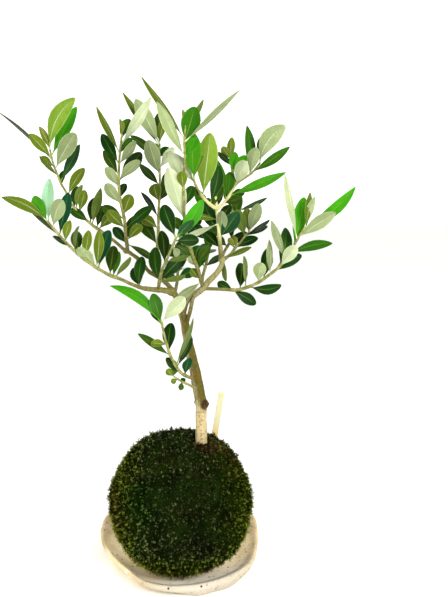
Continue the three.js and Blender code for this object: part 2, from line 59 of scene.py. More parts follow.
# Ball
BALL_RADIUS = 60
BALL_CENTRE = Vector((0, -15, 64))
BALL_FLAT_BELOW = 56.7
MOSS_THICKNESS = 10
MOSS_LUMP = 0.9
MAT_ROUGHNESS = 0.8
MAT_FACETS = (160, 110)
TALLER_ABOVE = 1.045
MAT_BELOW_TIPS = 2.2
SEAT_GAP = 0.3
SPRIGS_ABOVE = 10.5
SPRIGS_FADE = 4

# The sprigs of the moss: how many leaflets, the stem's length, the leaflets' length and the number
# of their first draw; then the count they are strewn by, their least and largest size, and their lean
SPRIG_SORTS = {
    "moss_sprigs_long": ((8, 4.4, 2.0, 11), "sprigs", 0.55, 1.25, 0.9),
    "moss_sprigs_short": ((8, 2.6, 1.8, 47), "sprigs", 0.6, 1.25, 1.0),
    "moss_tufts": ((4, 1.6, 1.4, 83), "tufts", 0.7, 1.3, 0.8),
}
SPRIGS_SUNK = 0.2
SPRIG_CURVE = 0.18
GOLDEN_TURN = math.radians(137.5)
SEEDS_APART = 10

# Where the moss changes: dry at the left, dry at the top right, fresh green left of the middle and
# dim right of it, which is painted shade on the ball's front. Each has its place from the ball's middle
# and the distances from there between which it changes, in metres, and its strength at both.
MOSS_SPOTS = [
    ((-0.052, -0.02, 0.005), 0.012, 0.03, 1.0, 0.0),
    ((0.035, -0.012, 0.05), 0.01, 0.034, 1.0, 0.0),
    ((-0.028, -0.046, 0.02), 0.008, 0.024, 0.8, 0.0),
    ((0.026, -0.047, 0.012), 0.014, 0.036, 0.5, 1.0),
]

# Soil collar round the trunk's foot, and how high the moss is open over it
COLLAR_X = 20
COLLAR_Y = -25
COLLAR_BOTTOM = 99
COLLAR_TOP = 118.5
COLLAR_RADIUS = 10.5
COLLAR_FOOT = 12.5
COLLAR_SIDES = 64
COLLAR_ROWS = 12
COLLAR_TOP_RINGS = 8
COLLAR_ROUGHNESS = 0.06
OPENING_TOP = 135
SOIL_TOP = COLLAR_TOP - 0.6
CRUMBS_ABOVE = COLLAR_TOP - 1.5
SMALLEST_CRUMB = 0.35
LARGEST_CRUMB = 0.95
CRUMB_LEAN = 3.0
CRUMB_SEED = 3
TRUNK_FOOT = Vector((17.4, -23))
BARE_ROUND_TRUNK = 5.6
BARE_PATCH = Vector((21.5, -29))
BARE_HALF_WIDTH = 4
BARE_HALF_DEPTH = 3.2

# Dish
DISH_FLOOR = 7
DISH_RIM = 16.5
DISH_BACK_RISE = 4.5
DISH_RIM_WAVE = 0.8
DISH_STEPS = 240
DISH_ROWS = 6
FOOT_TO_RIM = 8
RIM_REACH = 68
RIM_ACROSS = 70
RIM_DEEP = 75.5
FLOOR_RINGS = (0.9, 0.65, 0.35)

# The specks in the clay, by their scale, their size and the share of places that have one
HOLLOWS = (230.0, 0.24, 0.3)
GRIT = (190.0, 0.17, 0.3)
DUST = (480.0, 0.16, 0.16)

# Label stake
STAKE_WIDTH = 5.4
STAKE_THICKNESS = 1.6
STAKE_LENGTH = 64
STAKE_POINT = 8
STAKE_FOOT = Vector((23.4, 11, 87))
STAKE_LEAN_RIGHT = math.radians(9.4)
STAKE_LEAN_BACK = math.radians(3)

# Stems: their usual radii from foot to tip, how much they are thickened, all along and at a leaf's
# joint, how far a joint reaches, and the steps that they are drawn in
STEM_RADII = [1.3, 1.1, 0.9, 0.7]
STEM_THICKENING = 1.12
JOINT_THICKENING = 0.22
JOINT_REACH = 1.6
STEM_STEP = 2.2
STEM_SIDES = 8

# Blades: the power that moves the widest place of a broad and of a slender one, and the powers that
# round a blade at its stalk, and at its tip if it is broad or slender
BLADE_FOLD = 0.2
BLADE_WIDENING = 1.18
PETIOLE_SHARE = 0.07
WIDEST_PLACE = (1.25, 1.1)
ROUND_AT_STALK = 0.95
ROUND_AT_TIP = (0.54, 0.76)

# How leaves lie and differ: their hollow and sway are shares of their length. A leaf whose turn is
# given bends less, and dark leaves differ more in light and warmth.
FRONT = Vector((0, -1, 0.12))
FACING_RATE = 1.7
MOST_FACING = 0.8
FURTHER_FACING = 0.9
LEAST_HOLLOW = 0.03
MORE_HOLLOW = 0.07
SLENDER_FLATTER = 0.03
GIVEN_TURN_EASE = 0.3
MOST_TWIST = math.radians(26)
MOST_SWAY = 0.05
LIGHT = (0.86, 1.14)
DARK_LIGHT = (0.5, 1.6)
MOST_WARMTH = 0.1
DARK_WARMTH = 0.14
DRAWS_FOR_SHOOT = 100
DRAWS_FOR_TWIG = 25

# The dish, as the hand left it: the outer edges of its foot and of its rim, and its rings from the
# foot round to the floor. A ring has how far it lies from the foot's edge to the rim's, its
# scale, its height, and how much of the rim's rise and fall it takes.
FOOT_EDGE = [
    (64, 14), (62, 42), (50, 60), (24, 68), (-16, 68), (-46, 60), (-60, 42), (-62, 18), (-58, -4),
    (-46, -22), (-32, -39), (-16, -52), (4, -62), (18, -67), (31, -61), (44, -53), (57, -30), (62, -10),
]
RIM_EDGE = [
    (70, 22), (68, 46), (58, 64), (37, 72), (3, 75), (-33, 73), (-58, 66), (-69, 50), (-71, 24),
    (-67, -1), (-58, -22), (-43, -46), (-28, -66), (-11, -75), (9, -76), (27, -71), (46, -59), (62, -38),
    (68, -14),
]
DISH_RINGS = [
    (0, 1, 0, 0),
    (0.5, 1, 4, 0.1),
    (0.95, 1, DISH_RIM - 4.5, 0.8),
    (1, 1, DISH_RIM - 1.8, 1),
    (1, 0.975, DISH_RIM, 1),
    (1, 0.94, DISH_RIM - 0.7, 1),
    (1, 0.85, DISH_RIM - 5, 0.6),
    (1, 0.76, DISH_FLOOR + 1, 0.1),
    (1, 0.68, DISH_FLOOR, 0),
]

# The woody frame: the path of each limb, and its radii evenly spaced from the path's start, and
# the facets of the trunk, of its limbs and of its hole in the soil, round them and along them
TRUNK_FACETS = (28, 60)
LIMB_FACETS = (20, 30)
HOLE_FACETS = (24, 40)
SMOOTHINGS = 6
TRUNK = (
    [
        (16, -20, 92), (17.2, -22, 106), (17.4, -23, 120), (17.2, -23, 137), (17.2, -23, 151),
        (15.2, -22, 162), (12.2, -20, 178), (8.6, -17, 192), (6, -13, 204), (3.5, -11, 217), (0.5, -9, 227),
    ],
    [3, 4.4, 4.8, 4.5, 4.7, 4.6, 4.3, 3.9, 3.5, 3.1],
)
LIMBS = [
    (
        [
            (2, -10, 222), (-1.5, -8, 233), (-6, -8, 239.5), (-12, -10, 241), (-20, -12, 242),
            (-29, -14.5, 243.5),
        ],
        [2.9, 2.8, 2.3, 1.9],
    ),
    (
        [
            (-4, -8, 238), (-9, -4, 244), (-17, 0, 250), (-26, 4, 255), (-32, 8, 262), (-40, 11, 268),
            (-46, 12.5, 272),
        ],
        [2.0, 1.8, 1.6, 1.5],
    ),
    (
        [
            (2, -10, 222), (5.5, -8, 232.5), (13, -7, 238), (19, -6, 242.5), (23, -5, 247.5),
            (29, -4, 253.5), (33.5, -3, 260), (34.5, -2, 266),
        ],
        [2.9, 2.7, 2.4, 2.0],
    ),
    (
        [(4.5, -12, 212), (7.5, -14, 221), (9.2, -14.5, 228), (10.5, -12, 234), (14, -8, 238.5)],
        [1.8, 1.6, 1.6],
    ),
]
BIG_KNOT = (19.4, -25, 151)
LEADER_FORK = (30, -8, 306)

# The knots of the wood, and small lumps on the trunk
KNOTS = [
    (BIG_KNOT, 4.1), ((-6.5, -8, 240), 3.8), ((-45, 12, 271), 2.8), ((19.5, -6, 242.5), 2.7),
    ((34, -2, 265), 2.9), ((12.6, -22.5, 152), 1.5), ((14.4, -26.2, 170), 1.3), ((5.2, -12.5, 196), 1.2),
]
KNOT_SCAR = Vector(BIG_KNOT) + Vector((2.5, -2.5, 0))

# How a leaf is coloured above and below, as reds, greens and blues of 255, the tones of leaves that
# turn their upper face to the front, the warm green that all lean to, and the darker colour laid on a
# leaf for its own mottle and as painted shade
# Painted light: the bright tone stands for leaves that glow with light from behind, and the gleam tone for
# a top that reflects the sky; the teal tone is partly a leaf's own dark green, partly its painted sheen
LEAF_TONES = {
    "dark": ((2, 48, 6), (74, 98, 30)),
    "green": ((34, 88, 4), (100, 124, 36)),
    "bright": ((48, 128, 6), (116, 150, 34)),
    "teal": ((2, 60, 36), (84, 120, 64)),
    "grey": ((92, 110, 48), (110, 126, 66)),
    "olive": ((74, 92, 6), (84, 102, 10)),
    "lime": ((96, 126, 20), (106, 134, 38)),
    "pale": ((48, 88, 28), (138, 150, 106)),
    "white": ((54, 96, 34), (176, 184, 148)),
    "gleam": ((146, 188, 154), (104, 140, 96)),
    "young": ((96, 106, 20), (112, 122, 30)),
}
TONES_ABOVE = ("dark", "green", "bright", "teal", "grey", "gleam")
WARM_LEAF = (112, 122, 26)
LEAF_MOTTLE_AND_SHADE = (0.55, 0.6, 0.5, 1.0)

# The leafy shoots, each a list of twigs. A twig has the path of its stem, and its leaves as rows of:
# place along the stem (0 to 1), reach from there across, back and up, width, and tone; then for some
# their angle from the front, and how far they bow to the left of the way they point. Last come its
# own radii, where they aren't the usual ones.
Twig = namedtuple("Twig", "path leaves radii", defaults=[STEM_RADII])
SHOOTS = {
    "shoot_lower_left": [Twig([
        (-28, -14, 243), (-37, -18, 247), (-46, -22, 252), (-53, -25, 255), (-62, -29, 261),
        (-71, -33, 268), (-79, -37, 276), (-86, -40, 284), (-94, -44, 295), (-97, -45, 299),
    ], [
        (0.04, -5, 8, 15, 9, "dark"), (0.05, 2, 12, 23, 8, "dark"), (0.29, 4, 8, 19, 6, "green"),
        (0.27, 13, -8, 17, 7, "grey", 58), (0.32, 2, 12, 22, 9, "dark"), (0.43, 7, 14, 29, 10, "teal"),
        (0.45, 4, -10, 30, 7, "olive"), (0.45, -13, -10, 16, 8, "pale"), (0.48, -6, 5, 11, 6, "dark"),
        (0.57, 5, -8, 23, 7, "olive"), (0.64, -3, 10, 17, 8, "dark"), (0.67, 4, -2, 20, 7, "grey"),
        (0.73, -12, -4, 8, 7, "dark", 66), (0.78, 5, -6, 17, 6, "olive"), (0.85, 5, 14, 32, 9, "teal"),
        (0.84, -24, 2, 20, 8, "dark", 68), (0.93, 10, -14, 22, 10, "pale"),
        (0.98, -1, 12, 33, 9, "gleam"), (0.99, -12, 8, 19, 9, "bright"),
        (1, -33, -3, 18, 8, "olive", 25, -3),
    ])],
    "shoot_upper_left": [Twig([
        (-46, 12.5, 271), (-53, 15, 277), (-66, 20, 286), (-75, 23, 292), (-86, 26, 302), (-92, 28, 309),
        (-96, 29, 318), (-100, 29, 325), (-103, 29, 333), (-106, 28, 342), (-108, 27, 353),
    ], [
        (0.27, 15, -10, 15, 8, "olive"), (0.29, 4, 10, 18, 7, "dark"), (0.33, 9, -8, 31, 7, "grey"),
        (0.35, 3, 12, 21, 8, "dark"), (0.36, -17, 4, 11, 7, "dark"), (0.47, 6, -5, 19, 7, "olive"),
        (0.52, 1, 9, 18, 7, "dark"), (0.5, 5, 3, 21, 6, "grey"), (0.63, 16, -10, 23, 8, "olive"),
        (0.72, 0, 8, 12, 5, "dark"), (0.75, 15, 12, 31, 9, "teal"), (0.79, -14, -5, 17, 7, "olive", 62),
        (0.85, 20, -16, 29, 12, "pale"), (0.87, -13, 7, 8, 6, "olive"), (0.93, -43, 2, 38, 9, "dark", 74),
        (0.94, -16, -8, 19, 8, "olive"), (0.95, 20, 12, 41, 11, "bright"),
        (1, 24, -14, 41, 12, "lime", 8, 5), (1, -9, 3, 19, 5, "young"),
    ])],
    "shoot_left_inner": [Twig([
        (-43.5, 11, 272), (-44.5, 8.5, 283), (-45, 5, 297), (-47, 2, 309), (-48, -1, 319), (-48, -3, 329),
        (-47, -6, 341), (-46, -8, 351), (-44, -11, 363),
    ], [
        (0.05, -12, 9, 13, 7, "dark"), (0.05, 28, -8, -14, 8, "dark"), (0.08, 14, -12, 14, 7, "olive"),
        (0.08, 7, 13, 20, 7, "dark"), (0.19, -13, -10, 15, 8, "olive"), (0.19, 22, 4, 18, 8, "dark"),
        (0.28, -18, 6, 10, 8, "dark"), (0.31, 7, -8, 17, 9, "olive"), (0.41, -10, -13, 17, 8, "pale"),
        (0.46, 3, 10, 12, 6, "dark"), (0.56, -9, -9, 16, 7, "pale"), (0.61, 17, 13, 23, 10, "dark"),
        (0.63, 18, -12, 15, 8, "pale", 40), (0.67, -12, 3, 19, 8, "dark"), (0.76, -15, 13, 24, 8, "dark"),
        (0.76, 14, -9, 18, 7, "pale", 42), (0.85, -17, -3, 36, 9, "olive", 62),
        (0.85, 9, 7, 12, 6, "green"), (0.92, 24, 4, 37, 8, "white", 35), (0.96, 6, 8, 17, 7, "green"),
        (1, -1, -3, 13, 3, "young"), (1, 1, 3, 12, 3, "young"),
    ])],
    "shoot_left_centre": [Twig([
        (-20, 1, 251), (-19, 7, 262), (-19, 14, 277), (-18.6, 19, 291), (-18.4, 22, 305),
        (-17.6, 25, 320), (-17.6, 27, 335), (-17.6, 28, 346), (-17.6, 29, 358),
    ], [
        (0.24, -18, 15, 21, 9, "dark"), (0.37, -13, -12, 10, 8, "olive"),
        (0.45, -15, 9, 21, 7, "dark", 58), (0.57, -3, -13, 15, 9, "olive"), (0.57, 7, 10, 14, 7, "dark"),
        (0.69, -16, -3, 18, 8, "dark"), (0.67, 9, 4, 14, 7, "dark"), (0.77, -8, -16, 28, 11, "pale", 10),
        (0.88, -24, 3, 20, 9, "dark"), (0.88, -7, 18, 14, 9, "green"), (0.98, -30, 2, 44, 9, "olive", 50),
        (1, -18, -14, 35, 11, "pale", 10), (1, -1, 12, 26, 8, "dark"), (1, 5, -6, 21, 6, "olive"),
        (0.9, 8, -2, 8, 7, "dark"), (0.82, 12, -5, 17, 7, "white", 20),
    ])],
    "shoot_centre": [Twig([
        (18.5, -7, 244), (17, -10, 250), (15, -16, 259), (12, -22, 268), (10, -27, 276), (7, -35, 288),
        (6, -42, 300), (6, -49, 315), (6, -53, 330), (7, -56, 344), (7, -58, 357), (8, -60, 368),
    ], [
        (0.03, -20, -12, -13, 8, "pale", 45), (0.12, 5, 4, 21, 9, "dark"), (0.15, -6, -7, 9, 5, "pale"),
        (0.17, 11, 3, 14, 7, "dark"), (0.26, -9, -5, 13, 6, "pale"), (0.47, -11, -18, 41, 13, "white"),
        (0.56, 6, 14, 16, 7, "dark"), (0.66, -1, -12, 14, 7, "olive"), (0.71, -11, 6, 22, 7, "white"),
        (0.84, -19, -12, 39, 9, "pale", 38), (0.84, 9, 10, 14, 7, "bright"),
        (0.91, 8, -4, 26, 12, "green", 5), (0.92, 40, -8, 36, 8, "pale", 67),
        (0.93, -31, 3, 45, 9, "olive", 56), (0.99, 13, 7, 21, 6, "grey", 60), (1, -2, -2, 12, 3, "young"),
        (1, 1, 2, 12, 3, "young"), (0.05, -8, -7, 9, 6, "olive"),
    ])],
    "shoot_front": [Twig([
        (-17, -11, 242), (-15, -20, 251), (-12, -31, 261), (-8, -39, 269), (-4, -47, 278), (0, -54, 287),
    ], [
        (0.14, -4, 13, 27, 9, "dark"), (0.16, 21, 10, 21, 10, "dark"), (0.16, 21, -6, 6, 7, "grey", 54),
        (0.53, -3, 12, 25, 8, "dark"), (0.58, 17, -8, 6, 7, "grey", 56), (0.86, 5, -9, -6, 5, "pale"),
        (0.9, 12, 2, -8, 6, "dark"), (0.95, 18, 6, 0, 8, "dark"), (0.97, 14, -5, 15, 7, "teal"),
        (1, -10, 12, 24, 10, "dark"), (1, 20, 8, 28, 9, "bright"),
    ])],
    "shoot_leader": [Twig([
        (33, -2.8, 266), (32.8, -3.8, 275), (32, -5, 283), (31, -7, 296), (30, -8, 306), (29, -9, 316),
    ], [
        (0.16, -14, 10, 13, 8, "dark"), (0.34, 15, -5, 21, 12, "teal", 20), (0.34, 2, -12, 22, 8, "pale"),
        (0.55, 10, 12, 15, 7, "dark"), (0.56, -29, -12, -11, 8, "white", 56),
        (0.38, -12, 7, 26, 9, "dark"), (0.63, -19, -3, 4, 7, "olive", 52),
    ], [1.6, 1.3, 1.0]),
    Twig([
        (30, -8, 306), (26, -13, 309), (21, -20, 314), (17, -28, 320), (14, -34, 326), (13, -38, 330),
    ], [
        (0.11, 7, 9, 16, 7, "dark"), (0.23, 7, 14, 30, 9, "dark"), (0.5, 6, -16, 48, 14, "lime", 8),
        (0.55, -11, -9, 6, 6, "dark"), (0.86, -22, -10, 24, 9, "white"),
        (0.99, -1, -8, 35, 12, "bright", 12), (0.99, 7, 9, 29, 8, "olive"),
    ]),
    Twig([
        (30, -8, 306), (34, -5, 309), (38, -1, 313), (42, 3, 320), (45, 6, 325), (49, 9, 328),
        (58, 14, 334), (65, 17, 342),
    ], [
        (0.15, 14, -12, 4, 7, "dark"), (0.21, -7, 10, 32, 7, "green"), (0.25, 2, 11, 21, 8, "green"),
        (0.29, 46, 5, 19, 9, "bright", 42), (0.27, 13, 10, 4, 6, "dark"), (0.5, 7, -11, 19, 10, "white"),
        (0.77, -2, 13, 40, 8, "green"), (0.79, 4, -11, 21, 9, "pale"), (0.82, 31, 5, 21, 8, "green", 40),
        (1, 5, 10, 24, 8, "green"), (1, 19, -12, 30, 13, "pale", 12, 4),
    ]),
    Twig([
        (45, 6, 325), (43, 12, 333), (42, 16, 339), (42, 19, 345),
    ], [
        (0.48, 2, 8, 17, 7, "bright"), (0.48, 11, -4, 14, 7, "bright"), (0.73, -12, 2, 12, 7, "dark"),
        (1, -8, -6, 10, 6, "olive"), (1, 0, 3, 18, 6, "olive"),
    ])],
    "shoot_right_inner": [Twig([
        (35, -2.3, 265), (41, 0.5, 269), (45, 5, 274), (49, 7, 278), (52, 9, 282), (56, 11, 286),
    ], [
        (0.06, 21, -8, 10, 7, "olive", 58), (0.45, 19, 8, 8, 7, "dark"), (0.45, -5, -6, 9, 4, "young"),
        (0.47, -1, 5, 9, 4, "young"), (0.87, 18, -6, 9, 7, "dark", 60), (0.97, 18, 3, 11, 7, "dark", 60),
        (1, 8, -9, 24, 9, "pale", 15), (1, -2, -3, 20, 8, "olive", 15), (0.86, -7, -3, 22, 9, "grey", 10),
        (0.02, 2, -6, -17, 6, "grey", 58),
    ])],
    "shoot_right": [Twig([
        (20.5, -6.5, 242), (28, -8, 242), (37, -11, 242), (46, -14, 242), (55, -17, 245), (63, -20, 249),
        (72, -23, 256), (79, -25, 262), (85, -27, 270), (89, -28, 277), (93, -29, 285), (98, -30, 293),
    ], [
        (0.23, -13, 7, 5, 7, "dark"), (0.22, 19, 3, -12, 8, "dark"), (0.28, 1, 12, 20, 9, "dark"),
        (0.33, -2, -6, 26, 8, "grey", 66), (0.36, 26, 6, 0, 8, "dark", 20, -3),
        (0.44, 1, -10, 17, 9, "pale"), (0.49, 4, 12, 23, 9, "dark"), (0.55, -1, -8, 28, 7, "pale", 45),
        (0.58, 23, 6, 13, 8, "dark"), (0.64, 6, 13, 30, 10, "dark"), (0.65, 11, -14, 18, 9, "white"),
        (0.72, -12, -10, 31, 8, "pale", 42), (0.77, 34, 4, 8, 8, "green", 35, 3),
        (0.83, 9, 13, 38, 11, "bright"), (0.89, -11, -12, 51, 9, "white", 55),
        (0.91, 27, -11, 20, 9, "pale"), (0.99, 40, 7, 32, 9, "bright", 25, -3), (1, 4, 4, 27, 5, "olive"),
        (1, 7, -4, 24, 5, "pale"),
    ])],
    "shoot_back_centre": [Twig([
        (18, -6, 241), (18, 8, 249), (21, 22, 260), (23, 34, 273), (24, 43, 286), (23, 49, 299),
    ], [
        (0.35, -14, 8, 12, 8, "dark"), (0.35, 16, 4, 10, 8, "dark"), (0.52, 3, -4, 24, 8, "dark"),
        (0.52, 2, 22, 2, 8, "green"), (0.68, -18, 10, 14, 9, "dark"), (0.68, 14, 9, 19, 9, "dark"),
        (0.84, 0, 20, 10, 8, "dark"), (0.84, -2, 2, 26, 8, "green"), (1, -12, 12, 20, 8, "green"),
        (1, 10, 12, 22, 8, "dark"),
    ])],
    "shoot_back_right": [Twig([
        (33.5, -0.2, 264.5), (36, 12, 270), (42, 25, 280), (44, 36, 290), (46, 44, 301),
    ], [
        (0.35, -10, 14, 6, 7, "dark"), (0.35, 16, -2, 12, 7, "dark"), (0.5, 2, 18, 2, 8, "green"),
        (0.5, 0, -2, 22, 8, "dark"), (0.7, 20, 4, 12, 8, "dark"), (0.7, 3, 19, 8, 8, "dark"),
        (0.86, 2, 4, 16, 9, "pale", 10), (0.86, 4, -2, 24, 8, "dark"), (1, 27, 5, 12, 7, "dark", 66),
        (1, -8, 14, 22, 8, "dark"),
    ])],
    "shoot_back_left": [Twig([
        (-4, -8, 238), (-3, 8, 245), (-3, 24, 252), (-1, 40, 261), (2, 53, 270), (3, 63, 280),
    ], [
        (0.3, -14, 8, 4, 8, "dark"), (0.3, 14, 10, 4, 8, "dark"), (0.48, 0, 4, 22, 8, "dark"),
        (0.48, 0, 22, -4, 8, "green"), (0.65, -18, 12, 10, 9, "dark"), (0.65, 18, 12, 8, 9, "green"),
        (0.82, 0, 22, 2, 8, "dark"), (0.82, 0, 4, 26, 9, "dark"), (1, -14, 16, 14, 8, "green"),
        (1, 12, 18, 16, 8, "dark"),
    ])],
    "shoot_trunk": [Twig([
        (14, -21, 172), (9, -25, 173), (5, -30, 176), (2, -34, 179), (-2, -38, 186), (-6, -41, 195),
        (-9, -43, 206), (-11, -44, 215), (-12, -45, 222),
    ], [
        (0.21, 4, -7, 16, 7, "teal"), (0.31, -11, -2, 12, 6, "dark"), (0.4, 12, 8, 22, 7, "dark", 50),
        (0.42, 14, -5, 39, 8, "grey", 60), (0.57, -25, -2, 18, 7, "dark", 50),
        (0.61, 1, 9, 22, 9, "dark"), (0.72, -12, -6, 2, 6, "olive"), (0.95, -8, 12, 16, 7, "dark"),
        (0.96, -40, 3, 30, 8, "bright", 30, -6), (1, 18, -11, 21, 10, "white"),
        (1, -7, 6, 21, 9, "green"),
    ])],
    "twig_trunk": [Twig([
        (16, -22, 164), (12, -26, 165), (8, -29, 168), (2, -33, 172), (-4, -36, 177),
    ], [
        (0.55, -3, -3, 5, 4, "dark"), (0.68, -1, -4, -6, 4, "dark"), (0.84, -5, -3, -2, 4, "olive"),
        (1, 1, 3, 7, 5, "dark"), (1, -5, -2, 6, 5, "olive"),
    ], [1.0, 0.8, 0.6])],
}


# Numbers and lines
def draw(number):
    """A small steady draw between 0 and 1, the same on every run"""
    wave = math.sin(number * 12.9898) * 43758.5453
    return wave - math.floor(wave)


def clamp(value, low, high):
    return max(low, min(high, value))


def paint(colour):
    """A colour of 255 as the linear one that a shader takes"""
    shares = [part / 255 for part in colour]
    linear = [s / 12.92 if s <= 0.04045 else ((s + 0.055) / 1.055) ** 2.4 for s in shares]
    return (*linear, 1.0)


def along(values, share):
    """The value at a share of an evenly spaced list"""
    place = share * (len(values) - 1)
    below = min(int(place), len(values) - 2)
    return values[below] + (values[below + 1] - values[below]) * (place - below)


def in_metres(place):
    """Where a place of what stands in the dish lies in the whole frame, as a shader takes it"""
    return tuple((Vector(place) + PLANTED_AT) * MM)


class SmoothLine:
    """A centripetal curve through points, with places on it by their share of its length"""

    DIVISIONS = 200
    TANGENT_STEP = 0.0001

    def __init__(self, path, closed=False):
        self.points = [Vector(p) if len(p) == 3 else Vector((*p, 0)) for p in path]
        self.closed = closed
        marks = [self.raw(i / self.DIVISIONS) for i in range(self.DIVISIONS + 1)]
        self.lengths = [0.0]
        for a, b in zip(marks, marks[1:]):
            self.lengths.append(self.lengths[-1] + (b - a).length)
        self.length = self.lengths[-1]

    def raw(self, t):
        """The point at a share of the curve's own steps"""
        points, count = self.points, len(self.points)
        place = t * (count if self.closed else count - 1)
        low = min(int(place), count - 1 if self.closed else count - 2)
        weight = place - low
        p1 = points[low % count]
        p2 = points[(low + 1) % count]
        p0 = points[(low - 1) % count] if self.closed or low > 0 else 2 * points[0] - points[1]
        ends = self.closed or low + 2 < count
        p3 = points[(low + 2) % count] if ends else 2 * points[-1] - points[-2]
        d0, d1, d2 = (max((b - a).length ** 0.5, 1e-4) for a, b in ((p0, p1), (p1, p2), (p2, p3)))
        out = ((p1 - p0) / d0 - (p2 - p0) / (d0 + d1) + (p2 - p1) / d1) * d1
        into = ((p2 - p1) / d1 - (p3 - p1) / (d1 + d2) + (p3 - p2) / d2) * d1
        square = weight * weight
        cube = square * weight
        cubic = (2 * p1 - 2 * p2 + out + into) * cube
        return p1 + out * weight + (-3 * p1 + 3 * p2 - 2 * out - into) * square + cubic

    def share(self, u):
        """The curve's own step at a share of its length"""
        target = u * self.length
        low = int(np.searchsorted(self.lengths, target, side="right")) - 1
        low = clamp(low, 0, self.DIVISIONS - 1)
        span = self.lengths[low + 1] - self.lengths[low]
        return (low + (target - self.lengths[low]) / span) / self.DIVISIONS

    def at(self, u):
        return self.raw(self.share(u))

    def tangent(self, u):
        t = self.share(u)
        low = max(t - self.TANGENT_STEP, 0)
        high = min(t + self.TANGENT_STEP, 1)
        return (self.raw(high) - self.raw(low)).normalized()


# Meshes
def mesh_of(name, points, faces, edges=()):
    """A mesh in metres from points in millimetres"""
    mesh = bpy.data.meshes.new(name)
    mesh.from_pydata([Vector(p) * MM for p in points], edges, faces)
    mesh.update()
    return mesh


def placed(name, mesh):
    piece = bpy.data.objects.new(name, mesh)
    bpy.context.scene.collection.objects.link(piece)
    return piece


def removed(*pieces):
    for piece in pieces:
        mesh = piece.data
        bpy.data.objects.remove(piece)
        bpy.data.meshes.remove(mesh)


def modified(piece, kind, **settings):
    modifier = piece.modifiers.new(kind.capitalize(), kind)
    for name, value in settings.items():
        setattr(modifier, name, value)
    return modifier


def settled(piece):
    """The piece with its modifiers worked into a plain mesh"""
    depsgraph = bpy.context.evaluated_depsgraph_get()
    mesh = bpy.data.meshes.new_from_object(piece.evaluated_get(depsgraph))
    if not mesh.polygons:
        raise RuntimeError(f"{piece.name} has no faces left after its modifiers")
    piece.modifiers.clear()
    old = piece.data
    piece.data = mesh
    bpy.data.meshes.remove(old)
    mesh.name = piece.name
    return piece


def finished(piece, slot, *nodes, at=PLANTED_AT):
    """Puts a piece on the plant's one body, in the place of the solids that it stands for"""
    piece.data.transform(Matrix.Translation(at * MM))
    piece.data.shade_smooth()
    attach(piece, BODY)
    if nodes:
        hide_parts(*nodes)


def loft(rings, start, end):
    """Points and faces of a closed skin over rings, with a point to close each end"""
    sides = len(rings[0])
    points = [start, *(spot for ring in rings for spot in ring), end]
    top = 1 + (len(rings) - 1) * sides
    faces = []
    for j in range(sides):
        k = (j + 1) % sides
        faces.append((0, 1 + k, 1 + j))
        faces.append((len(points) - 1, top + j, top + k))
        for low in range(1, top, sides):
            faces.append((low + j, low + k, low + sides + k, low + sides + j))
    return points, faces


def tube(path, radii, sides, steps, extra=0.0):
    """Points and faces of a round limb along a smooth line"""
    line = SmoothLine(path)
    rings = []
    across = line.tangent(0).orthogonal().normalized()
    for i in range(steps + 1):
        u = i / steps
        direction = line.tangent(u)
        across = (across - direction * across.dot(direction)).normalized()
        other = direction.cross(across)
        radius = along(radii, u) + extra
        centre = line.at(u)
        turns = [2 * math.pi * j / sides for j in range(sides)]
        rings.append([centre + radius * (across * math.cos(t) + other * math.sin(t)) for t in turns])
    return loft(rings, line.at(0), line.at(1))


def together(parts):
    """Several closed skins as the points and faces of one mesh"""
    points, faces = [], []
    for part_points, part_faces in parts:
        first = len(points)
        points.extend(part_points)
        faces.extend(tuple(first + corner for corner in face) for face in part_faces)
    return points, faces


def round_form(create, **numbers):
    """Points and faces of one of the ready round forms, about the origin"""
    bm = bmesh.new()
    create(bm, **numbers)
    points = [v.co.copy() for v in bm.verts]
    faces = [tuple(v.index for v in face.verts) for face in bm.faces]
    bm.free()
    return points, faces


def ball(radius, centre, across=32, up=20):
    points, faces = round_form(bmesh.ops.create_uvsphere, u_segments=across, v_segments=up, radius=radius)
    return [point + Vector(centre) for point in points], faces


def worked(piece, operation, others):
    """The piece worked on with others, which are removed, its points and faces put in one fixed order"""
    for other in others:
        modified(piece, "BOOLEAN", operation=operation, solver="MANIFOLD", object=other)
    settled(piece)
    removed(*others)
    raw = piece.data
    order = sorted(range(len(raw.vertices)), key=lambda i: tuple(raw.vertices[i].co))
    number_of = {old: new for new, old in enumerate(order)}
    faces = []
    for face in raw.polygons:
        corners = [number_of[corner] for corner in face.vertices]
        first = corners.index(min(corners))
        faces.append(corners[first:] + corners[:first])
    piece.data = mesh_of(piece.name, [raw.vertices[i].co / MM for i in order], sorted(faces))
    bpy.data.meshes.remove(raw)


def shifted(mesh, shift):
    """Moves each vertex by a function of its place and normal, both in millimetres"""
    mesh.update()
    moves = [shift(v.co / MM, v.normal.copy()) * MM for v in mesh.vertices]
    for vertex, move in zip(mesh.vertices, moves):
        vertex.co += move
    mesh.update()


def store(mesh, name, kind, values, domain="POINT"):
    """Writes an attribute: FLOAT takes numbers, FLOAT_VECTOR triples and FLOAT_COLOR fours"""
    attribute = mesh.attributes.new(name, kind, domain)
    key = {"FLOAT": "value", "BOOLEAN": "value", "FLOAT_VECTOR": "vector", "FLOAT_COLOR": "color"}[kind]
    numbers = np.array(values, bool if kind == "BOOLEAN" else np.float32)
    attribute.data.foreach_set(key, numbers.ravel())


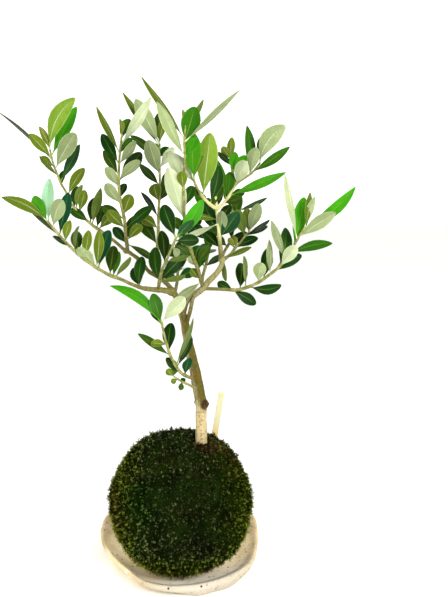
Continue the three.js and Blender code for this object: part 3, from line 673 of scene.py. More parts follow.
# Node trees
class Wire:
    """The output of a node, which sums can be written with"""

    def __init__(self, bench, socket):
        self.bench = bench
        self.socket = socket

    def __add__(self, other):
        return self.bench.math("ADD", self, other)

    def __sub__(self, other):
        return self.bench.math("SUBTRACT", self, other)

    def __rsub__(self, other):
        return self.bench.math("SUBTRACT", other, self)

    def __mul__(self, other):
        return self.bench.math("MULTIPLY", self, other)

    def __truediv__(self, other):
        return self.bench.math("DIVIDE", self, other)

    def __pow__(self, power):
        return self.bench.math("POWER", self, power)

    def __abs__(self):
        return self.bench.math("ABSOLUTE", self)

    def ramp(self, low, high, start=0.0, end=1.0):
        """The value carried smoothly from one range to another, and held at its ends"""
        feeds = {"Value": self, "From Min": low, "From Max": high, "To Min": start, "To Max": end}
        return self.bench.wire("ShaderNodeMapRange", feeds, "Result", interpolation_type="SMOOTHSTEP")


class Bench:
    """A node tree under construction"""

    def __init__(self, tree):
        self.tree = tree

    def feed(self, socket, value):
        """Links a wire to an input, or sets the input's own value"""
        if isinstance(value, Wire):
            self.tree.links.new(value.socket, socket)
        else:
            socket.default_value = value

    def node(self, kind, feeds=(), **settings):
        """A node with its settings. Each feed is an input's name or number, and a value or a wire"""
        node = self.tree.nodes.new(kind)
        for name, value in settings.items():
            setattr(node, name, value)
        for key, value in dict(feeds).items():
            self.feed(node.inputs[key], value)
        return node

    def wire(self, kind, feeds=(), out=0, **settings):
        """One output of a new node, by its name or number"""
        return Wire(self, self.node(kind, feeds, **settings).outputs[out])

    def wires(self, kind, feeds=(), **settings):
        """All outputs of a new node, in their order"""
        return [Wire(self, socket) for socket in self.node(kind, feeds, **settings).outputs]

    def math(self, operation, *values, clamp=False):
        return self.wire("ShaderNodeMath", enumerate(values), operation=operation, use_clamp=clamp)

    def highest(self, value, *others):
        for other in others:
            value = self.math("MAXIMUM", value, other)
        return value

    def vector(self, operation, *values, out=0):
        return self.wire("ShaderNodeVectorMath", enumerate(values), out, operation=operation)

    def scaled(self, vector, number):
        return self.wire("ShaderNodeVectorMath", {0: vector, "Scale": number}, operation="SCALE")

    def parts(self, vector):
        return self.wires("ShaderNodeSeparateXYZ", {0: vector})

    def joined_parts(self, *parts):
        return self.wire("ShaderNodeCombineXYZ", enumerate(parts))

    def mixed(self, share, a, b, blend="MIX"):
        """Two colours mixed"""
        feeds = {0: share, 6: a, 7: b}
        return self.wire("ShaderNodeMix", feeds, 2, data_type="RGBA", blend_type=blend, clamp_factor=True)

    def layered(self, colour, *layers):
        """A colour with others laid over it in turn, each by its share"""
        for share, over in layers:
            colour = self.mixed(share, colour, over)
        return colour

    def noise(self, place, scale, detail=3.0, roughness=0.55, distortion=0.0):
        feeds = {"Vector": place, "Scale": scale, "Detail": detail, "Roughness": roughness}
        return self.wire("ShaderNodeTexNoise", {**feeds, "Distortion": distortion}, "Fac")

    def named(self, name, kind="FLOAT_VECTOR"):
        """A named attribute of the geometry"""
        return self.wire("GeometryNodeInputNamedAttribute", {"Name": name}, data_type=kind)

    def random(self, seed, low=0.0, high=1.0):
        feeds = {2: low, 3: high, "Seed": seed}
        return self.wire("FunctionNodeRandomValue", feeds, 1, data_type="FLOAT")

    def coated(self, geometry, finish):
        return self.wire("GeometryNodeSetMaterial", {"Geometry": geometry, "Material": finish})

    def ended(self, **results):
        """The whole tree, with its results fed to its outputs"""
        self.node("NodeGroupOutput", results)
        return self.tree


def tree_with(name, kind, inputs, outputs, socket="NodeSocketFloat"):
    """The bench of a new node tree, and its inputs. An input has its name, its kind and its usual value"""
    tree = bpy.data.node_groups.new(name, kind)
    for label, sort, *usual in inputs:
        made = tree.interface.new_socket(label, in_out="INPUT", socket_type="NodeSocket" + sort)
        if usual:
            made.default_value = usual[0]
    for label in outputs:
        tree.interface.new_socket(label, in_out="OUTPUT", socket_type=socket)
    bench = Bench(tree)
    return bench, bench.wires("NodeGroupInput")[:len(inputs)]


def grown(piece, tree_name, **inputs):
    """Works a node tree on a piece. Inputs are named in lower case with underscores"""
    tree = tree_named(tree_name)
    modifier = modified(piece, "NODES", node_group=tree)
    for item in tree.interface.items_tree:
        key = item.name.lower().replace(" ", "_")
        if item.in_out == "INPUT" and key in inputs:
            modifier[item.identifier] = inputs[key]
    settled(piece)


def scatter_tree(name):
    """Copies of a small shape over a surface, each leaning its own way"""
    inputs = [
        ("Geometry", "Geometry"), ("Shape", "Object"), ("Count per square metre", "Float", 100000.0),
        ("Smallest", "Float", 0.7), ("Largest", "Float", 1.3), ("Lean", "Float", 0.6),
        ("Sunk", "Float", 0.0), ("Seed", "Int", 0), ("Finish", "Material"),
    ]
    bench, given = tree_with(name, "GeometryNodeTree", inputs, ["Geometry"], "NodeSocketGeometry")
    surface, shape, count, smallest, largest, lean, sunk, seed, finish = given
    feeds = {"Mesh": surface, "Density": count * bench.named("grows", "FLOAT"), "Seed": seed}
    points = bench.node("GeometryNodeDistributePointsOnFaces", feeds, distribute_method="RANDOM").outputs
    other_seed = seed + 1.0
    feeds = {0: (-1, -1, -math.pi), 1: (1, 1, math.pi), "Seed": other_seed}
    spin = bench.wire("FunctionNodeRandomValue", feeds, data_type="FLOAT_VECTOR")
    turn_x, turn_y, turn_z = bench.parts(spin)
    euler = bench.joined_parts(turn_x * lean, turn_y * lean, turn_z)
    feeds = {0: Wire(bench, points["Rotation"]), 1: bench.wire("FunctionNodeEulerToRotation", {0: euler})}
    lie = bench.wire("FunctionNodeRotateRotation", feeds, rotation_space="LOCAL")
    shape = bench.wire("GeometryNodeObjectInfo", {"Object": shape}, "Geometry")
    size = bench.random(seed, smallest, largest)
    feeds = {"Points": Wire(bench, points["Points"]), "Instance": shape, "Rotation": lie, "Scale": size}
    copies = bench.wire("GeometryNodeInstanceOnPoints", feeds)
    feeds = {"Geometry": copies, "Name": "own_tone", "Value": bench.random(other_seed)}
    toned = bench.wire("GeometryNodeStoreNamedAttribute", feeds, domain="INSTANCE", data_type="FLOAT")
    down = bench.joined_parts(0.0, 0.0, sunk * -1.0)
    lowered = bench.wire("GeometryNodeTranslateInstances", {"Instances": toned, "Translation": down})
    real = bench.wire("GeometryNodeRealizeInstances", {"Geometry": lowered})
    return bench.ended(Geometry=bench.coated(real, finish))


def shoot_tree(name):
    """Stems along the mesh's edges, and a leaf on each of its loose points"""
    inputs = [
        ("Geometry", "Geometry"), ("Blade", "Object"), ("Stem sides", "Int", STEM_SIDES),
        ("Blade half thickness", "Float", 0.0003), ("Petiole radius", "Float", 0.0005),
        ("Blade fold", "Float", BLADE_FOLD), ("Stem finish", "Material"),
        ("Upper finish", "Material"), ("Lower finish", "Material"),
    ]
    bench, given = tree_with(name, "GeometryNodeTree", inputs, ["Geometry"], "NodeSocketGeometry")
    shoot, blade, sides, half_thickness, petiole_radius, fold, *finishes = given
    stem_finish, upper_finish, lower_finish = finishes

    line = bench.wire("GeometryNodeMeshToCurve", {"Mesh": shoot})
    ring = bench.wire("GeometryNodeCurvePrimitiveCircle", {"Resolution": sides, "Radius": 1.0})
    girth = bench.named("stem_radius", "FLOAT")
    feeds = {"Curve": line, "Profile Curve": ring, "Scale": girth, "Fill Caps": True}
    stem = bench.coated(bench.wire("GeometryNodeCurveToMesh", feeds), stem_finish)

    # Each copy of the flat blade is laid out by its leaf's own numbers
    shape = bench.wire("GeometryNodeObjectInfo", {"Object": blade}, "Geometry")
    feeds = {"Points": shoot, "Selection": bench.named("is_leaf", "BOOLEAN"), "Instance": shape}
    copies = bench.wire("GeometryNodeInstanceOnPoints", feeds)
    leaves = bench.wire("GeometryNodeRealizeInstances", {"Geometry": copies})
    u, v, skin = bench.parts(bench.named("blade_spot"))
    length, width, arch = bench.parts(bench.named("leaf_size"))
    twist, sway, pointed = bench.parts(bench.named("leaf_lie"))
    onward = bench.named("leaf_onward")
    upper = bench.named("leaf_upper")
    side = bench.vector("CROSS_PRODUCT", onward, upper)

    past_petiole = bench.math("DIVIDE", v - PETIOLE_SHARE, 1 - PETIOLE_SHARE, clamp=True)
    swelling = bench.math("SINE", past_petiole ** pointed.ramp(0.0, 1.0, *WIDEST_PLACE) * math.pi)
    roundness = past_petiole * (pointed.ramp(0.0, 1.0, *ROUND_AT_TIP) - ROUND_AT_STALK) + ROUND_AT_STALK
    blade_half = width * 0.5 * bench.highest(swelling, 0.0) ** roundness
    half = bench.highest(blade_half, petiole_radius * (1.0 - past_petiole))
    in_petiole = v.ramp(0.0, 2 * PETIOLE_SHARE, 1.0, 0.0)
    thick = half_thickness + (petiole_radius - half_thickness) * in_petiole
    bow = v * (1.0 - v) * 4.0
    raised = abs(u) ** 1.5 * fold * half * past_petiole
    feeds = {"Axis": onward, "Angle": twist * v}
    side_here, upper_here = (
        bench.wire("ShaderNodeVectorRotate", {"Vector": vector, **feeds}) for vector in (side, upper)
    )
    place = bench.named("leaf_root")
    moves = [
        (onward, length * v), (upper, bow * arch), (side, bow * sway), (side_here, u * half),
        (upper_here, raised + skin * thick),
    ]
    for direction, reach in moves:
        place = bench.vector("ADD", place, bench.scaled(direction, reach))
    leaves = bench.wire("GeometryNodeSetPosition", {"Geometry": leaves, "Position": place})
    feeds = {"Geometry": bench.coated(leaves, upper_finish), "Material": lower_finish}
    feeds["Selection"] = bench.named("is_lower_face", "BOOLEAN")
    leaves = bench.wire("GeometryNodeSetMaterial", feeds)

    whole = bench.node("GeometryNodeJoinGeometry")
    for part in (leaves, stem):
        bench.feed(whole.inputs[0], part)
    return bench.ended(Geometry=Wire(bench, whole.outputs[0]))


# Effects that several materials share
def mottle_tree(name):
    """Two sizes of soft patches"""
    inputs = [("Place", "Vector"), ("Patch scale", "Float", 100.0), ("Grain scale", "Float", 900.0)]
    outputs = ["Patches", "Grain"]
    bench, (place, patch_scale, grain_scale) = tree_with(name, "ShaderNodeTree", inputs, outputs)
    patches = bench.noise(place, patch_scale, detail=4.0).ramp(0.34, 0.66)
    return bench.ended(Patches=patches, Grain=bench.noise(place, grain_scale, roughness=0.65))


def speck_tree(name):
    """Small round specks, with an uneven outline and a share of them left out"""
    inputs = [
        ("Place", "Vector"), ("Scale", "Float", 300.0), ("Size", "Float", 0.2), ("Share", "Float", 0.3)
    ]
    bench, (place, scale, size, share) = tree_with(name, "ShaderNodeTree", inputs, ["Specks"])
    wobble = bench.noise(place, scale * 3.0, detail=2.0)
    distance, colour = bench.wires("ShaderNodeTexVoronoi", {"Vector": place, "Scale": scale})[:2]
    picked = bench.math("LESS_THAN", bench.parts(colour)[0], share)
    spot = bench.math("LESS_THAN", distance, size * (wobble + 0.5))
    return bench.ended(Specks=spot * picked)


def grain_tree(name):
    """Long thin streaks along Z, as in wood and bark"""
    inputs = [("Place", "Vector"), ("Scale", "Float", 900.0), ("Stretch", "Float", 0.12)]
    bench, (place, scale, stretch) = tree_with(name, "ShaderNodeTree", inputs, ["Streaks"])
    squeezed = bench.vector("MULTIPLY", place, bench.joined_parts(1.0, 1.0, stretch))
    return bench.ended(Streaks=bench.noise(squeezed, scale, detail=4.0, roughness=0.6, distortion=0.4))


def vein_tree(name):
    """The rib and side veins of a blade, laid out on its UV map"""
    outputs = ["Rib", "Veins", "Rim", "Half", "Onward"]
    bench, (uv,) = tree_with(name, "ShaderNodeTree", [("UV", "Vector")], outputs)
    across, onward, _ = bench.parts(uv)
    out = abs(across * 2.0 - 1.0)
    rib = (out / onward.ramp(0.0, 1.0, 0.13, 0.04)).ramp(0.35, 1.0, 1.0, 0.0)
    veins = abs(bench.math("SINE", onward * 60.0 - out * 14.0)) ** 6.0
    return bench.ended(
        Rib=rib, Veins=veins * out.ramp(0.05, 0.9, 1.0, 0.0), Rim=out.ramp(0.82, 1.0),
        Half=across.ramp(0.48, 0.52), Onward=onward,
    )


TREES = {
    "Scatter": scatter_tree,
    "Olive shoot": shoot_tree,
    "Mottle": mottle_tree,
    "Specks": speck_tree,
    "Grain": grain_tree,
    "Leaf veins": vein_tree,
}


def tree_named(name):
    return bpy.data.node_groups.get(name) or TREES[name](name)


class Finish(Bench):
    """A material under construction, with its Principled shader"""

    def __init__(self, name, roughness, shine=None):
        self.material = bpy.data.materials.new(name)
        self.material.use_nodes = True
        super().__init__(self.material.node_tree)
        self.shader = self.tree.nodes["Principled BSDF"]
        self.set("Roughness", roughness)
        if shine is not None:
            self.set("Specular IOR Level", shine)

    def set(self, socket, value):
        self.feed(self.shader.inputs[socket], value)

    def place(self):
        return self.wire("ShaderNodeTexCoord", out="Object")

    def distance(self, a, b):
        return self.vector("DISTANCE", a, b, out="Value")

    def attribute(self, name, out="Fac"):
        return self.wire("ShaderNodeAttribute", (), out, attribute_name=name, attribute_type="GEOMETRY")

    def effect(self, name, *values):
        """The outputs of one of the shared effects, with its inputs in their order"""
        return self.wires("ShaderNodeGroup", enumerate(values), node_tree=tree_named(name))

    def done(self, colour, height=None, distance=0.0):
        """The material with its colour, and its relief where it has one"""
        self.set("Base Color", colour)
        if height is not None:
            self.set("Normal", self.wire("ShaderNodeBump", {"Height": height, "Distance": distance}))
        return self.material


# Materials
def clay_finish(look):
    clay = Finish("Speckled clay", 0.85, 0.3)
    place = clay.place()
    x, y, _ = clay.parts(place)
    patches, grain = clay.effect("Mottle", place, 70.0, 1500.0)
    hollows, grit, dust = (clay.effect("Specks", place, *sort)[0] for sort in (HOLLOWS, GRIT, DUST))
    from_middle = clay.math("SQRT", (x / (RIM_ACROSS * MM)) ** 2.0 + (y / (RIM_DEEP * MM)) ** 2.0)
    # Painted light: the inside is coloured paler than the wall, lifting the shade that the ball casts on it
    inner = from_middle.ramp(0.86, 0.94, 1.0, 0.0)
    # Painted light: the front of the wall and of the inside is whiter where the light falls; the wall's
    # white is duller than the inside's, as painted shade over the lip's highlight
    front = (x * 0.4 - y).ramp(0.035, 0.085)
    wall = clay.layered(look.clay, (patches, look.clay_pale), (front * 0.9, look.clay_white))
    bowl = clay.layered(look.bowl, (patches, look.bowl_pale), (front, look.bowl_white))
    colour = clay.layered(
        wall, (inner, bowl), (grain.ramp(0.42, 0.62, 0.0, 0.3), look.bowl_pale),
        (hollows * 0.55, look.hollow), (clay.highest(grit, dust), look.grit),
    )

    # The comb was drawn over the dish's right side
    comb = clay.math("SINE", (x + y * 0.55 + clay.noise(place, 60.0) * 0.006) * 1900.0)
    comb = comb.ramp(0.2, 1.0) * x.ramp(0.02, 0.04)
    return clay.done(colour, grain - comb * 0.9 - hollows, 0.0005)


def moss_finish(look):
    """Bright at the sprigs' tips, most so at the ball's sides, as painted rim light, and at its foot,
    with the spots of change, of which the dim one is painted shade
    """
    moss = Finish("Damp moss", 0.85, 0.02)
    place = moss.place()
    patches, grain = moss.effect("Mottle", place, 42.0, 420.0)
    out = moss.vector("SUBTRACT", place, in_metres(BALL_CENTRE))
    x, _, z = moss.parts(out)
    dry_left, dry_right, fresh, dim = (
        moss.distance(out, spot).ramp(*change) for spot, *change in MOSS_SPOTS
    )
    # Painted rim light: the tips turn brighter and yellower towards the ball's sides, and the same tips are
    # laid at its foot
    edge = abs(x).ramp(0.015, 0.048)
    foot = z.ramp(-0.04, -0.012, 1.0, 0.0)
    brown = moss.noise(place, 38.0).ramp(0.5, 0.68) * 0.3
    dry = moss.highest(moss.highest(dry_left, dry_right) * 0.8, brown, z.ramp(-0.05, -0.032, 0.6, 0.0))
    low = moss.layered(look.deep, (patches, look.green), (fresh * 0.7, look.fresh), (dry, look.brown))
    tip = moss.layered(
        look.glint_tip, (moss.highest(edge, foot), look.tip), (fresh, look.fresh_tip), (dry * 0.6, look.dry_tip)
    )
    # The tips' brightness, with painted rim light at the ball's sides and painted shade in the dim spot
    lift = moss.highest(edge, fresh).ramp(0.0, 1.0, 0.9, 1.2) + x.ramp(-0.056, -0.01, 1.8, 0.0)
    bright = moss.attribute("own_tone") ** 2.2 * (lift + foot * 0.7) * dim
    reach = moss.attribute("sprig_height").ramp(0.2, 0.95) * bright
    # The deep laid over part of the sprigs is painted shade among them
    return moss.done(moss.layered(low, (reach, tip), (grain.ramp(0.36, 0.62, 0.75, 0.0), look.deep)))


def mat_finish(look):
    mat = Finish("Moss ground", 1.0, 0.0)
    patches, grain = mat.effect("Mottle", mat.place(), 60.0, 900.0)
    # The mat is the deep tint with green patches; its deep is partly the moss's own dark base, partly
    # painted shade under the sprigs
    green = mat.mixed(patches, look.deep, look.green)
    return mat.done(mat.mixed(grain.ramp(0.35, 0.7), look.deep, green), grain, 0.001)


def soil_finish(look):
    soil = Finish("Damp soil", 0.95, 0.02)
    patches, grain = soil.effect("Mottle", soil.place(), 200.0, 1400.0)
    light = soil.attribute("own_tone").ramp(0.75, 1.0, 0.0, 0.6)
    return soil.done(
        soil.layered(look.soil, (patches, look.soil_red), (light, look.soil_light)), grain, 0.0006
    )


def bark_finish(look):
    bark = Finish("Olive bark", 0.85, 0.08)
    place = bark.place()
    x, _, z = bark.parts(place)
    patches, grain = bark.effect("Mottle", place, 130.0, 1300.0)
    (streaks,) = bark.effect("Grain", place, 700.0, 0.16)
    (cracks,) = bark.effect("Grain", place, 420.0, 1.6)
    (pores,) = bark.effect("Specks", place, 520.0, 0.26, 0.3)

    # The wood is paler below the big knot, and olive brown on the right of the trunk above it
    low = z.ramp(0.142, 0.156, 1.0, 0.0)
    olive_here = (x + z * 0.22).ramp(0.0515, 0.055) * (1.0 - low)
    olive_here = olive_here * streaks.ramp(0.2, 0.45, 0.5, 1.0) * z.ramp(0.218, 0.24, 1.0, 0.35)
    rusty = patches * streaks.ramp(0.45, 0.6)
    olive = bark.mixed(rusty * 0.8, look.bark_olive, look.bark_rust)
    cracks = cracks.ramp(0.56, 0.66) * bark.highest(low, 0.15)
    left_limb = x.ramp(0.004, 0.01, 0.75, 0.0) * z.ramp(0.226, 0.234)
    knot = bark.distance(place, in_metres(KNOT_SCAR)).ramp(0.0038, 0.0058, 1.0, 0.0)
    colour = bark.layered(
        look.bark_pale, (streaks.ramp(0.4, 0.66), look.bark_grey), (low * 0.85, look.bark_low),
        (olive_here * 0.92, olive), (pores * 0.6, look.bark_olive), (cracks * 0.4, look.bark_grey),
        (z.ramp(0.232, 0.268, 0.0, 0.7), look.bark_high), (left_limb, look.stem_old),
        (knot * grain.ramp(0.3, 0.5), look.knot),
    )
    return bark.done(colour, streaks + grain * 0.5 - (pores + cracks), 0.0006)


def stem_finish(look):
    """Older towards its foot, and cream round the leader's fork"""
    stem = Finish("Young olive stem", 0.6, 0.15)
    place = stem.place()
    patches, grain = stem.effect("Mottle", place, 260.0, 1800.0)
    old = stem.mixed(patches, look.stem_old, look.bark_grey)
    young = stem.mixed(patches, look.stem_young, look.stem_pale)
    near_fork = stem.distance(place, in_metres(LEADER_FORK)).ramp(0.014, 0.034, 1.0, 0.0)
    youth = stem.attribute("stem_youth").ramp(0.0, 0.35)
    return stem.done(stem.layered(old, (youth, young), (near_fork, look.stem_cream)), grain, 0.0003)


def leaf_finish(name, paint_name, rib_colour, roughness, shine, rib_share, bump):
    """One face of the leaves: its colour comes from each leaf's own attribute"""
    leaf = Finish(name, roughness, shine)
    uv = leaf.wire("ShaderNodeUVMap", uv_map="UVMap")
    rib, veins, rim, half, onward = leaf.effect("Leaf veins", uv)
    patches, grain = leaf.effect("Mottle", leaf.place(), 120.0, 2600.0)
    colour = leaf.attribute(paint_name, "Color")
    mottle_and_shade = leaf.mixed(1.0, colour, LEAF_MOTTLE_AND_SHADE, "MULTIPLY")
    # Painted shade: each leaf is darker towards its stalk and on one half of its blade; the patches are its
    # own mottle
    colour = leaf.layered(
        colour, (patches * 0.4, mottle_and_shade), (onward.ramp(0.0, 0.8, 0.5, 0.0), mottle_and_shade), (half * 0.42, mottle_and_shade),
        (veins * 0.05, rib_colour), (rim * 0.16, rib_colour), (rib * rib_share, rib_colour),
        (onward.ramp(0.03, 0.14, 0.7, 0.0), rib_colour),
    )
    return leaf.done(colour, rib * bump + veins * (0.25 * bump) + grain * 0.25, 0.0002)


def wood_finish(look):
    wood = Finish("Plain label wood", 0.7, 0.3)
    place = wood.place()
    (streaks,) = wood.effect("Grain", place, 900.0, 0.05)
    damp = wood.parts(place)[2].ramp(0.108, 0.128, 1.0, 0.0)
    grained = (streaks.ramp(0.35, 0.7, 0.0, 0.4), look.wood_streak)
    return wood.done(wood.layered(look.wood, grained, (damp * 0.8, look.wood_damp)), streaks, 0.0002)


# The dish
def dish_profile():
    """The dish's rings, rounded between the ones that the hand-made form is set out by"""
    corners = []
    for way, scale, height, wave in DISH_RINGS:
        out = FOOT_TO_RIM * (way - 1) if scale == 1 else RIM_REACH * (1 - scale)
        corners.append((out, height, wave))
    line = SmoothLine(corners)
    steps = DISH_ROWS * (len(corners) - 1)
    rings = []
    for i in range(steps + 1):
        out, height, wave = line.raw(i / steps)
        way = min(1 + out / FOOT_TO_RIM, 1)
        rings.append((way, min(1 - out / RIM_REACH, 1), max(height, 0), wave))
    return rings


def dish_mesh(look):
    edges = []
    for outline in (FOOT_EDGE, RIM_EDGE):
        line = SmoothLine(outline, closed=True)
        edges.append([line.at(i / DISH_STEPS) for i in range(DISH_STEPS)])
    rings = []
    for way, scale, height, wave in dish_profile():
        ring = []
        for inner, outer in zip(*edges):
            turn = math.atan2(outer.y, outer.x)
            slow_wave = 0.6 * math.sin(3 * turn + 0.6) + 0.4 * math.sin(5 * turn)
            lift = DISH_RIM_WAVE * slow_wave + DISH_BACK_RISE * math.sin(turn)
            spot = inner.lerp(outer, way) * scale
            ring.append(Vector((spot.x, spot.y, height + wave * lift)))
        rings.append(ring)
    floor = rings[-1]
    rings += [[Vector((spot.x * share, spot.y * share, spot.z)) for spot in floor] for share in FLOOR_RINGS]
    points, faces = loft(rings, Vector((0, 0, 0)), Vector((0, 0, DISH_FLOOR)))
    mesh = mesh_of("clay_dish", points, faces)

    def uneven(place, normal):
        above_foot = clamp((place.z - 0.6) / 4, 0, 1)
        wide = noise.noise(place / 24) * 0.9
        dent = noise.noise(place / 8 + Vector((3, 1, 7))) * 0.25
        pit = noise.noise(place / 1.6) * 0.08
        return normal * above_foot * look.unevenness / MM * (wide + dent + pit)

    shifted(mesh, uneven)
    return mesh


# The ball
def swell(unit):
    """How far the ball's low lumps stand out, by direction"""
    x, y, z = unit
    broad = math.sin(5 * x + 1.3) * math.sin(4 * z + 0.4)
    return broad + 0.7 * math.sin(7 * y + 3 * x) * math.sin(6 * z - 2 * y)


def lumpy_ball(name, radius, lump=0, rough=0, facets=(64, 40)):
    points, faces = ball(1.0, (0, 0, 0), *facets)
    places = []
    for unit in points:
        small = noise.noise(unit * 9) * 0.9 + noise.noise(unit * 21) * 0.6
        spot = unit * (radius + lump * swell(unit) + rough * small)
        spot.z = max(TALLER_ABOVE * spot.z if spot.z > 0 else spot.z, -BALL_FLAT_BELOW)
        places.append(spot + BALL_CENTRE)
    return placed(name, mesh_of(name, places, faces))


def moss_ball(name):
    return lumpy_ball(name, BALL_RADIUS - MAT_BELOW_TIPS, MOSS_LUMP, MAT_ROUGHNESS, MAT_FACETS)


def collar(name, extra, top, rough):
    """The round of soil at the trunk's foot, or the cutter that opens the moss over it"""
    rings = []
    for i in range(COLLAR_ROWS + 1):
        share = i / COLLAR_ROWS
        z = COLLAR_BOTTOM + (top - COLLAR_BOTTOM) * share
        radius = COLLAR_FOOT + (COLLAR_RADIUS - COLLAR_FOOT) * share + extra
        ring = []
        for j in range(COLLAR_SIDES):
            turn = 2 * math.pi * j / COLLAR_SIDES
            x, y = math.cos(turn), math.sin(turn)
            wobble = 1 + rough * noise.noise(Vector((x, y, z / 12)) * 2.5)
            ring.append(Vector((COLLAR_X + radius * wobble * x, COLLAR_Y + radius * wobble * y, z)))
        rings.append(ring)
    middle = Vector((COLLAR_X, COLLAR_Y, top))
    edge = rings[-1]
    for ring in range(COLLAR_TOP_RINGS - 1, 0, -1):
        rings.append([middle.lerp(spot, ring / COLLAR_TOP_RINGS) for spot in edge])
    points, faces = loft(rings, Vector((COLLAR_X, COLLAR_Y, COLLAR_BOTTOM)), middle)
    return placed(name, mesh_of(name, points, faces))


def strip(name, extra=0.0):
    """The label's flat strip with its pointed foot"""
    half = STAKE_WIDTH / 2 + extra
    deep = STAKE_THICKNESS / 2 + extra
    top = STAKE_LENGTH + extra
    outline = [(0, -extra), (half, STAKE_POINT), (half, top), (-half, top), (-half, STAKE_POINT)]
    lean = Matrix.Rotation(STAKE_LEAN_RIGHT, 4, "Y") @ Matrix.Rotation(-STAKE_LEAN_BACK, 4, "X")
    lie = Matrix.Translation(STAKE_FOOT) @ lean
    points = [lie @ Vector((x, y, z)) for y in (-deep, deep) for x, z in outline]
    count = len(outline)
    faces = [tuple(range(count)), tuple(reversed(range(count, 2 * count)))]
    faces += [(i, count + i, count + (i + 1) % count, (i + 1) % count) for i in range(count)]
    return placed(name, mesh_of(name, points, faces))


def leaflet(root, direction, length, width, bend):
    """Four faces that close a small folded leaflet"""
    across = direction.orthogonal().normalized()
    up = across.cross(direction).normalized()
    middle = root + direction * (length * 0.45)
    tip = root + direction * length + up * bend
    points = [root, middle + across * width / 2, middle - across * width / 2, tip]
    return points, [(0, 2, 1), (0, 1, 3), (1, 2, 3), (2, 0, 3)]


def sprig_shape(leaflets, length, leaflet_length, first):
    """A curved stem with leaflets set round it, and how high each point is on it"""
    parts, heights = [], []
    for i in range(leaflets):
        share = (i + 0.6) / leaflets
        root = Vector((SPRIG_CURVE * length * share * share, 0, length * 0.85 * share - 0.5))
        turn = GOLDEN_TURN * i
        rise = 0.55 + 0.9 * share
        direction = Vector((math.cos(turn), math.sin(turn), rise)).normalized()
        long = leaflet_length * (1.05 - 0.45 * share) * (0.8 + 0.4 * draw(first + i))
        parts.append(leaflet(root, direction, long, 0.42 * long, -0.2 * long))
        heights += [share * 0.8] * 3 + [min(1.0, share + 0.25)]
    stem_tip = Vector((SPRIG_CURVE * length, 0, length))
    parts.append(leaflet(Vector((0, 0, -0.8)), stem_tip.normalized(), length, 0.35, 0))
    heights += [0, 0.5, 0.5, 1]
    mesh = mesh_of("sprig", *together(parts))
    store(mesh, "sprig_height", "FLOAT", heights)
    return placed("sprig", mesh)


def crumb_shape():
    points, faces = round_form(bmesh.ops.create_icosphere, subdivisions=1, radius=1.0)
    points = [point * (0.75 + 0.5 * draw(31 + i)) for i, point in enumerate(points)]
    return placed("crumb", mesh_of("crumb", points, faces))


def bed_on(piece, name, grows):
    """A copy of a piece's mesh that says how thickly things grow at each of its points"""
    mesh = piece.data.copy()
    mesh.materials.clear()
    mesh.name = name
    mesh.update()
    store(mesh, "grows", "FLOAT", [grows(v.co / MM, v.normal) for v in mesh.vertices])
    return placed(name, mesh)


def is_bare(place, beyond=0.0):
    """Whether a place on the ball's top lies in the bare patch at the trunk's foot"""
    from_trunk = math.hypot(place.x - TRUNK_FOOT.x, place.y - TRUNK_FOOT.y)
    across = (place.x - BARE_PATCH.x) / (BARE_HALF_WIDTH + beyond)
    deep = (place.y - BARE_PATCH.y) / (BARE_HALF_DEPTH + beyond)
    return from_trunk < BARE_ROUND_TRUNK + beyond or math.hypot(across, deep) < 1


def moss_grows(place, normal):
    """All over the ball, but for the bare patch and a thin edge at the dish"""
    if place.z > BALL_CENTRE.z and is_bare(place):
        return 0.0
    return clamp((place.z - SPRIGS_ABOVE) / SPRIGS_FADE, 0, 1)


def crumbs_lie(place, normal):
    """On the bare patch, and a little way in under the moss round it"""
    return 1.0 if place.z > CRUMBS_ABOVE and normal.z > 0.3 and is_bare(place, 1.0) else 0.0


# The trunk and its limbs
def trunk_mesh():
    parts = [tube(*TRUNK, *TRUNK_FACETS)]
    parts += [tube(*limb, *LIMB_FACETS) for limb in LIMBS]
    parts += [ball(radius, centre) for centre, radius in KNOTS]
    return mesh_of("olive_trunk", *together(parts))


def bark_relief(place, normal):
    """Shallow furrows along the wood, lumps at the big knot, and small warts"""
    furrow = noise.noise(Vector((place.x / 1.9, place.y / 1.9, place.z / 9)))
    lump = noise.noise(place / 5.5)
    wart = max(0.0, noise.noise(place / 1.1 + Vector((9, 4, 2))) - 0.32)
    near_knot = clamp(1.6 - (place - Vector(BIG_KNOT)).length / 5, 0, 1)
    knobs = noise.noise(place / 1.5) * near_knot
    return normal * (0.2 * furrow + 0.24 * lump + 0.5 * wart + 0.9 * knobs)


# The leaves and stems
def blade_shape():
    """A flat blade for the leaf tree to lay out: how far across, how far along, and which skin"""
    stations = [0.0, 0.05, 0.12, 0.21, 0.33, 0.46, 0.59, 0.71, 0.81, 0.89, 0.95, 0.987]
    ring = [(-1, 0), (-0.5, 1), (0, 0.55), (0.5, 1), (1, 0), (0.5, -1), (0, -1.9), (-0.5, -1)]
    rings = [[Vector((across, station, skin)) for across, skin in ring] for station in stations]
    spots, faces = loft(rings, Vector((0, -0.01, 0)), Vector((0, 1, 0)))
    mesh = mesh_of("blade", spots, [tuple(reversed(face)) for face in faces])
    store(mesh, "blade_spot", "FLOAT_VECTOR", spots)
    lower = [sum(spots[corner].z for corner in face.vertices) < 0 for face in mesh.polygons]
    store(mesh, "is_lower_face", "BOOLEAN", lower, "FACE")
    uv = mesh.uv_layers.new(name="UVMap")
    for loop in mesh.loops:
        spot = spots[loop.vertex_index]
        uv.data[loop.index].uv = ((spot.x + 1) / 2, max(spot.y, 0))
    for edge in mesh.edges:
        edge.use_edge_sharp = all(abs(spots[corner].x) == 1 for corner in edge.vertices)
    return placed("blade", mesh)


